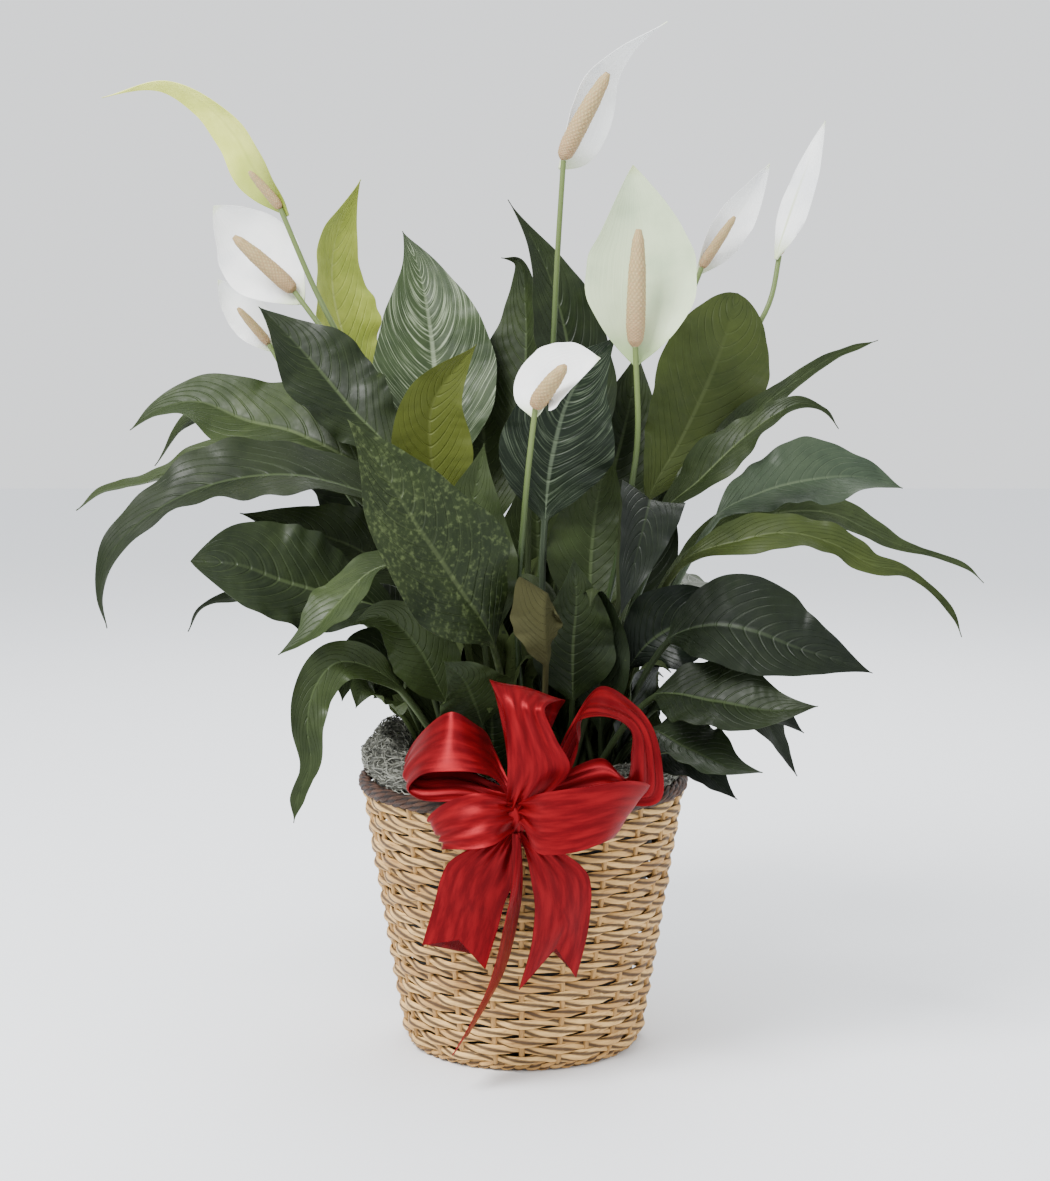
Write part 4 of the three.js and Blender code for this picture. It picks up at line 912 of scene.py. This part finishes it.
def half_width(v, blade):
    """Half the width at v; a long thin drip tip keeps its tail's half width nearly to its end."""
    least = np.where(v < blade["peak"], 0, blade["tail"] * (1 - smooth((v - 0.9) / 0.1)))
    return np.maximum(blade["width"] / 2 * outline(v, blade["peak"], blade["taper"]), least)


def wavy(v, k, blade):
    """The edge's waves, as in the solid, with finer ones on them."""
    side = np.where(k < 0, 0, 1.9)
    fade = np.maximum(0, sin(pi * np.minimum(1, 0.08 + v))) ** 0.6
    broad = blade["wave"] * sin(2 * pi * blade["waves"] * v + blade["phase"] + side) * k**2
    ruffle = sin(2 * pi * blade["waves"] * 3.3 * v + 2.7 * blade["phase"] + 2 * side)
    fine = 0.5 * blade["wave"] * ruffle * (0.6 + 0.4 * sin(7 * v + 3 * side + blade["phase"]))
    return (broad + fine * k**4) * fade


def relief(v, k, half):
    """How far a leaf is puffed up between its side veins."""
    across = np.abs(k)
    phase = (v - VEIN_LEAN * across**1.5) * VEINS
    off_vein = np.abs((phase + 0.5) % 1 - 0.5)
    fade = np.minimum(1, half / 25) * (1 - across**4) * smooth(across / 0.15)
    fade = fade * smooth(v / 0.12) * smooth((1 - v) / 0.15)
    return VEIN_DEPTH * sin(pi * off_vein) * fade


def two_sided(upper, lower, k, v, under):
    """A skin whose rings run over an upper face and back under a lower one, which has its own mark."""
    marks = np.concatenate([joined(k, v, 0.0), joined(k, v, under)[:, ::-1]], axis=1)
    return loft(np.concatenate([upper, lower[:, ::-1]], axis=1), marks, rng.random())


def blade_skin(curve, stations, v, anchor, blade, columns, veined, seed):
    """A blade along a curve; v runs from 0 at its neck to 1 at its tip, and stays 0 down the stem."""
    p, n, s = frames(curve, stations, anchor, blade["face"], blade["twist"])
    v = v[:, None]
    k = linspace(-1, 1, columns)
    k = (np.sign(k) * np.abs(k) ** 1.25)[None, :]
    half = half_width(v, blade) * (1 + 0.05 * noise_along(v * 9 + seed, seed))
    reach = np.maximum(0.3, np.hypot(half, blade["stem"] * (1 - v)))
    flat = smooth(v / 0.14)
    fold = np.tan(np.radians(blade["fold"])) * flat
    share = half / (blade["width"] / 2)
    lift = reach * (fold * np.abs(k) + blade["cup"] * k**2 * flat) + wavy(v, k, blade) * share
    if veined:
        lift = lift + relief(v, k, half)
    groove = 0.45 * np.exp(-((k * half / 1.8) ** 2)) * flat * (1 - v) * veined
    rib = RIB * (1 - v) * np.exp(-((k * half / 3.5) ** 2)) * flat
    thick = mix(2 * blade["stem"] * np.sqrt(1 - 0.8 * k**2), BLADE * (1 - 0.6 * k**2), flat)
    middle = p[:, None] + s[:, None] * (k * reach)[..., None]
    upper = middle + n[:, None] * (lift + thick / 2 - groove)[..., None]
    lower = middle + n[:, None] * (lift - thick / 2 - rib)[..., None]
    return two_sided(upper, lower, k, v, 1.0)


def from_soil(root, points):
    """A curve that rises from its hole in the soil and passes through the points."""
    return Spline([(*root, ROOT_Z), (*root, SOIL_Z + 4), *points])


def leaf(spec, rows=90, columns=15, seed=0):
    """A whole leaf in one skin: a round stem that flattens into the blade."""
    blade = {**LEAF, **spec}
    curve = from_soil(blade["root"], blade["points"])
    neck = curve.share(2)
    stations = np.concatenate([linspace(0, neck, 16, endpoint=False), linspace(neck, 1, rows)])
    v = np.maximum(0, (stations - neck) / (1 - neck))
    settled = round(blade["peak"] * blade["steps"]) / blade["steps"]
    anchor = int(np.argmin(np.abs(v - settled) + (stations < neck)))
    return blade_skin(curve, stations, v, anchor, blade, columns, True, seed)


def crown(root, leaves, seed, steps):
    skins = []
    for i, spec in enumerate(leaves):
        spread = 2 * pi * i / len(leaves)
        own = [root[0] + SHEATH_R * cos(spread), root[1] + SHEATH_R * sin(spread)]
        skins.append(leaf({**SMALL, **spec, "root": own, "steps": steps}, 56, 11, seed + i))
    return skins


def undergrowth(root, seed):
    """Small leaves low in a crown, which close the middle of the plant."""
    skins = []
    for i in range(UNDERGROWTH):
        turn = 2 * pi * (i + rng.uniform(-0.3, 0.3)) / UNDERGROWTH + seed
        reach = rng.uniform(22, 52)
        top = SOIL_Z + rng.uniform(75, 170)
        aim = np.array([cos(turn), 0.9 * sin(turn) + 0.12, 0.0])
        foot = np.array([*root, 0.0]) + SHEATH_R * aim
        points = [foot + aim * reach * share + np.array([0, 0, mix(SOIL_Z, top, rise)])
                  for share, rise in ((0.25, 0.36), (0.5, 0.68), (0.8, 0.95), (1.15, 1.0), (1.4, 0.93))]
        spec = dict(SMALL, root=foot[:2], points=points, width=rng.uniform(38, 56),
                    face=(aim[0], aim[1], 0.7), phase=rng.uniform(0, 6))
        skins.append(leaf(spec, 36, 9, seed + i))
    return skins


# ---------------- blooms
def stalk(spec):
    u = linspace(0, 1, 60)
    line = from_soil(spec["root"], spec["stalk"]).at(u)
    return tube(line, STALK_R * (1.15 - 0.25 * u), 14, rng.random(), mark=u[:, None])


def spathe(spec, seed):
    blade = {**LEAF, **SPATHE, **spec}
    face = np.array(spec["face"], float)
    before, end = np.array(spec["stalk"][-2:])
    along = unit(end - before)
    behind = unit(face - along * np.dot(face, along))
    base = end - along * spec["width"] / 6 - behind * (STALK_R + blade["stem"] + GAP)
    v = linspace(0, 1, 64)
    return blade_skin(Spline([base, *spec["points"]]), v, v, len(v) // 2, blade, 17, False, seed)


def spadix(spec):
    along = from_soil(spec["root"], spec["stalk"]).along(np.array([1.0]))[0]
    foot = np.array(spec["stalk"][-1]) + along * GAP
    tip = np.array(spec["spadix"], float)
    length = np.linalg.norm(tip - foot)
    bend = foot + along * length * SPADIX_BEND
    t = linspace(0, 1, int(length / KNOB_STEP) * 6)[:, None]
    line = (1 - t) ** 2 * foot + 2 * t * (1 - t) * bend + t**2 * tip
    radius = spec["knob"] * np.interp(t, *np.array(SPADIX_PROFILE).T)
    sides = KNOBS_ROUND * 6
    knob = cos(KNOBS_ROUND * circle(sides)) * cos(pi * t * length / KNOB_STEP)
    knob = np.maximum(0, knob) ** 0.6
    points, faces, _, tone = tube(line, radius, sides, rng.random(), 0.97 + 0.06 * knob)
    return points, faces, joined(0.0, t, knob).reshape(-1, 3), tone


# ---------------- ribbon bow
def ribbon(points, sides, pleats, run):
    """A strip of satin: sides are its half widths, and pleats lift it. Its weave follows run."""
    normal = unit(np.cross(unit(np.gradient(points, axis=0)), sides))[:, None]
    k = linspace(-1, 1, pleats.shape[1])
    middle = points[:, None] + sides[:, None] * k[:, None] + normal * pleats[..., None]
    half = normal * RIBBON_THICK / 2
    return two_sided(middle + half, middle - half, k, run[:, None], 0.0)


def loop(one, other, seed):
    """A band that leaves the knot and comes back, gathered there and smooth where it is wide."""
    t = linspace(0, 1, 84)
    k = linspace(-1, 1, 27)
    one, other = Spline(route(one)).between(t), Spline(route(other)).between(t)
    side = (other - one) / 2
    gathered = (1 - np.linalg.norm(side, axis=1) / 21).clip(0, 1)[:, None]
    spot = joined(k * 1.2, t[:, None] * 3.2, seed)
    pleats = 3.2 * gathered * cos(2 * pi * (1.5 * k + 0.13 * seed + 0.4 * noise(spot, seed + 20)))
    pleats = pleats + 1.3 * noise(spot, seed) * sin(pi * t)[:, None]
    return ribbon((one + other) / 2, side, pleats, t * 200)


def tail(line, side, notch, seed):
    curve = Spline(route(line))
    t = linspace(0, 1, 60)
    k = linspace(-1, 1, 27)
    points = curve.at(t)
    gathered = (1 - smooth(2.2 * t))[:, None]
    pleats = 2.2 * gathered * cos(2 * pi * (1.5 * k + 0.17 * seed))
    spot = joined(k * 1.2, t[:, None] * 3, seed)
    pleats = pleats + 1.3 * noise(spot, seed) * smooth(3 * t)[:, None]
    wide = mix(0.3, 1, smooth(2.5 * t))[:, None]
    skin, faces, marks, tone = ribbon(points, np.array(side, float) * wide, pleats, t * 140)
    cut = notch * (1 - np.abs(np.concatenate([k, k[::-1]]))) * smooth((t - 0.35) / 0.65)[:, None]
    ahead = unit(np.gradient(points, axis=0))[:, None]
    return skin - (ahead * cut[..., None]).reshape(-1, 3), faces, marks, tone


def bow():
    loops = [loop(*edges, i) for i, edges in enumerate(LOOPS)]
    return loops + [tail(*spec, i + 7) for i, spec in enumerate(TAILS)]


def knot():
    """The band that gathers the bow, with pleats round it, and the wire that ties it to the rim."""
    fall = linspace(0.03, pi - 0.03, 36)[:, None]
    turn = circle(66)
    r = 0.86 * KNOT_R * (1 + 0.05 * sin(11 * turn + 2 * sin(3 * fall)) + 0.04 * sin(5 * fall))
    rings = KNOT + joined(r * sin(fall) * cos(turn), 0.8 * r * sin(fall) * sin(turn),
                          1.2 * r * cos(fall))
    rim_front = RIM_MID_R + RIM_DEPTH / 2 + GAP
    wire = joined(KNOT[0], linspace(KNOT[1] + 4, -rim_front, 8), KNOT[2])
    return [loft(rings, joined(3 * sin(turn), 20 * fall, 0.0)), tube(wire, 1.6, 8)]


# ---------------- all the pieces
studio()

# Each straw: pale, mid and dark tones, and last the painted shade in its grooves.
straw = wicker_look("wicker", (0.74, 0.46, 0.17), (0.5, 0.28, 0.09), (0.25, 0.12, 0.04),
                    (0.035, 0.016, 0.007))
dark_straw = wicker_look("rim", (0.07, 0.03, 0.016), (0.04, 0.017, 0.009), (0.02, 0.009, 0.006),
                         (0.008, 0.004, 0.003))
piece("basket_weave", weave_rows() + weave_stakes() + weave_foot(), straw, "wicker", "woven_basket")
piece("rolled_rim", basket_rim(), dark_straw, "rim", "basket_rim")
piece("pot_shell", grow_pot(), pot_look(), "pot", "grow_pot")
piece("potting_soil", soil(), soil_look(), "soil", "soil")
piece("moss_tangle", moss(), moss_look(), "moss", "moss_collar")

# Dark and light green, underside and veins, in thousandths. Several rows are one green with painted light and
# shade: darker copies for leaves in shade, lighter ones for leaves in full light, a greyer one for a sheen;
# some vein colours also paint sheen stripes.
GREENS = {
    "leaf": ((7, 12, 4), (27, 41, 11), (50, 70, 20), (80, 110, 45)),
    # Painted shade: this green and the next two are the leaf green made darker for leaves in shade.
    "leaf_shaded_dark": ((3, 6, 3), (12, 19, 7), (30, 42, 14), (50, 70, 30)),
    "leaf_shaded_dusk": ((4, 7, 2.7), (15.5, 23, 8), (35, 48, 15), (60, 85, 35)),
    "leaf_shaded_deep": ((2, 4.3, 2.2), (9, 14, 5), (22, 30, 10), (35, 50, 22)),
    # Painted light: a lighter copy of the leaf green for a leaf in full light.
    "leaf_lit_mid": ((12, 20, 5), (45, 64, 17), (55, 78, 22), (100, 130, 55)),
    # Painted sheen: a greyer, bluer copy of the leaf green for a leaf that catches a sheen.
    "leaf_painted_sheen": ((12, 22, 14), (45, 65, 37), (50, 70, 35), (120, 155, 90)),
    # Painted sheen: its pale vein colour also paints broad stripes of sheen between the veins.
    "leaf_sheen_banded": ((10, 18, 8), (37, 57, 22), (60, 85, 27), (320, 380, 250)),
    # Partly a paler leaf, partly painted light: a lighter copy also used for leaves in full light.
    "leaf_pale_and_lit": ((20, 32, 9), (60, 85, 24), (60, 85, 25), (120, 155, 70)),
    # Painted sheen: its vein colour also paints pale stripes of sheen.
    "leaf_sheen_striped": ((7, 13, 6), (27, 42, 16), (50, 70, 20), (150, 190, 120)),
    # Painted glints: this leaf also gets pale speckles of glint.
    "leaf_painted_glints": ((6, 11, 3), (20, 31, 8), (50, 70, 20), (60, 80, 30)),
    "leaf_olive": ((24, 34, 3), (58, 72, 8), (70, 85, 14), (90, 105, 28)),
    "leaf_broad": ((13, 22, 4), (36, 50, 9), (55, 75, 15), (75, 95, 34)),
    "leaf_lime": ((170, 220, 25), (360, 410, 70), (250, 310, 50), (420, 470, 160)),
    "leaf_brownish": ((30, 30, 10), (60, 58, 20), (45, 43, 15), (55, 50, 20)),
}
FINISHES = {
    "leaf_sheen_banded": {"sheen_stripes": 0.6}, "leaf_sheen_striped": {"sheen_stripes": 0.35}, "leaf_painted_glints": {"painted_glints": 0.7},
    "leaf_olive": {"rough": 0.5}, "leaf_broad": {"rough": 0.5}, "leaf_lime": {"rough": 0.45},
    "leaf_brownish": {"rough": 0.55},
}
greens = {name: blade_look(name, *np.array(colours) / 1000, **FINISHES.get(name, {}))
          for name, colours in GREENS.items()}
for number, (name, spec) in enumerate(LEAVES.items()):
    green = greens[spec.get("green", "leaf")]
    piece(f"{name}_blade", [leaf(spec, seed=number)], green, spec.get("slot", "leaf"), name)
for number, (name, spec) in enumerate(CROWNS.items()):
    skins = crown(spec["root"], spec["leaves"], 40 + 10 * number, spec.get("steps", SMALL["steps"]))
    skins += undergrowth(spec["root"], 100 + 10 * number)
    piece(f"{name}_blades", skins, greens[spec.get("green", "leaf")], "leaf", name)

# Each hood: its white, its painted shade, and its foot and tip colours.
hoods = {
    "white": spathe_look("spathe_white", (0.9, 0.91, 0.9), (0.76, 0.78, 0.8), (0.5, 0.58, 0.3),
                         (0.7, 0.78, 0.5)),
    "cream": spathe_look("spathe_cream", (0.55, 0.65, 0.42), (0.42, 0.52, 0.33), (0.24, 0.34, 0.12),
                         (0.45, 0.52, 0.25)),
    "green": spathe_look("spathe_green", (0.84, 0.88, 0.2), (0.6, 0.66, 0.1), (0.14, 0.2, 0.02),
                         (0.5, 0.5, 0.25), foot_end=0.6),
}
stalks = stalk_look()
florets = spadix_look()
for number, (name, spec) in enumerate(BLOOMS.items()):
    hood = spec.get("hood", "white")
    slot = "green_spathe" if hood == "green" else "spathe"
    piece(f"{name}_stem", [stalk(spec)], stalks, "stalk", f"{name}_stalk")
    piece(f"{name}_hood", [spathe(spec, 70 + number)], hoods[hood], slot, f"{name}_spathe")
    piece(f"{name}_florets", [spadix(spec)], florets, "spadix", f"{name}_spadix")

satin = satin_look()
bow_piece = piece("bow_ribbon", bow(), satin, "ribbon", "ribbon_bow")
knot_piece = piece("bow_knot", knot(), satin, "ribbon", "ribbon_bow")
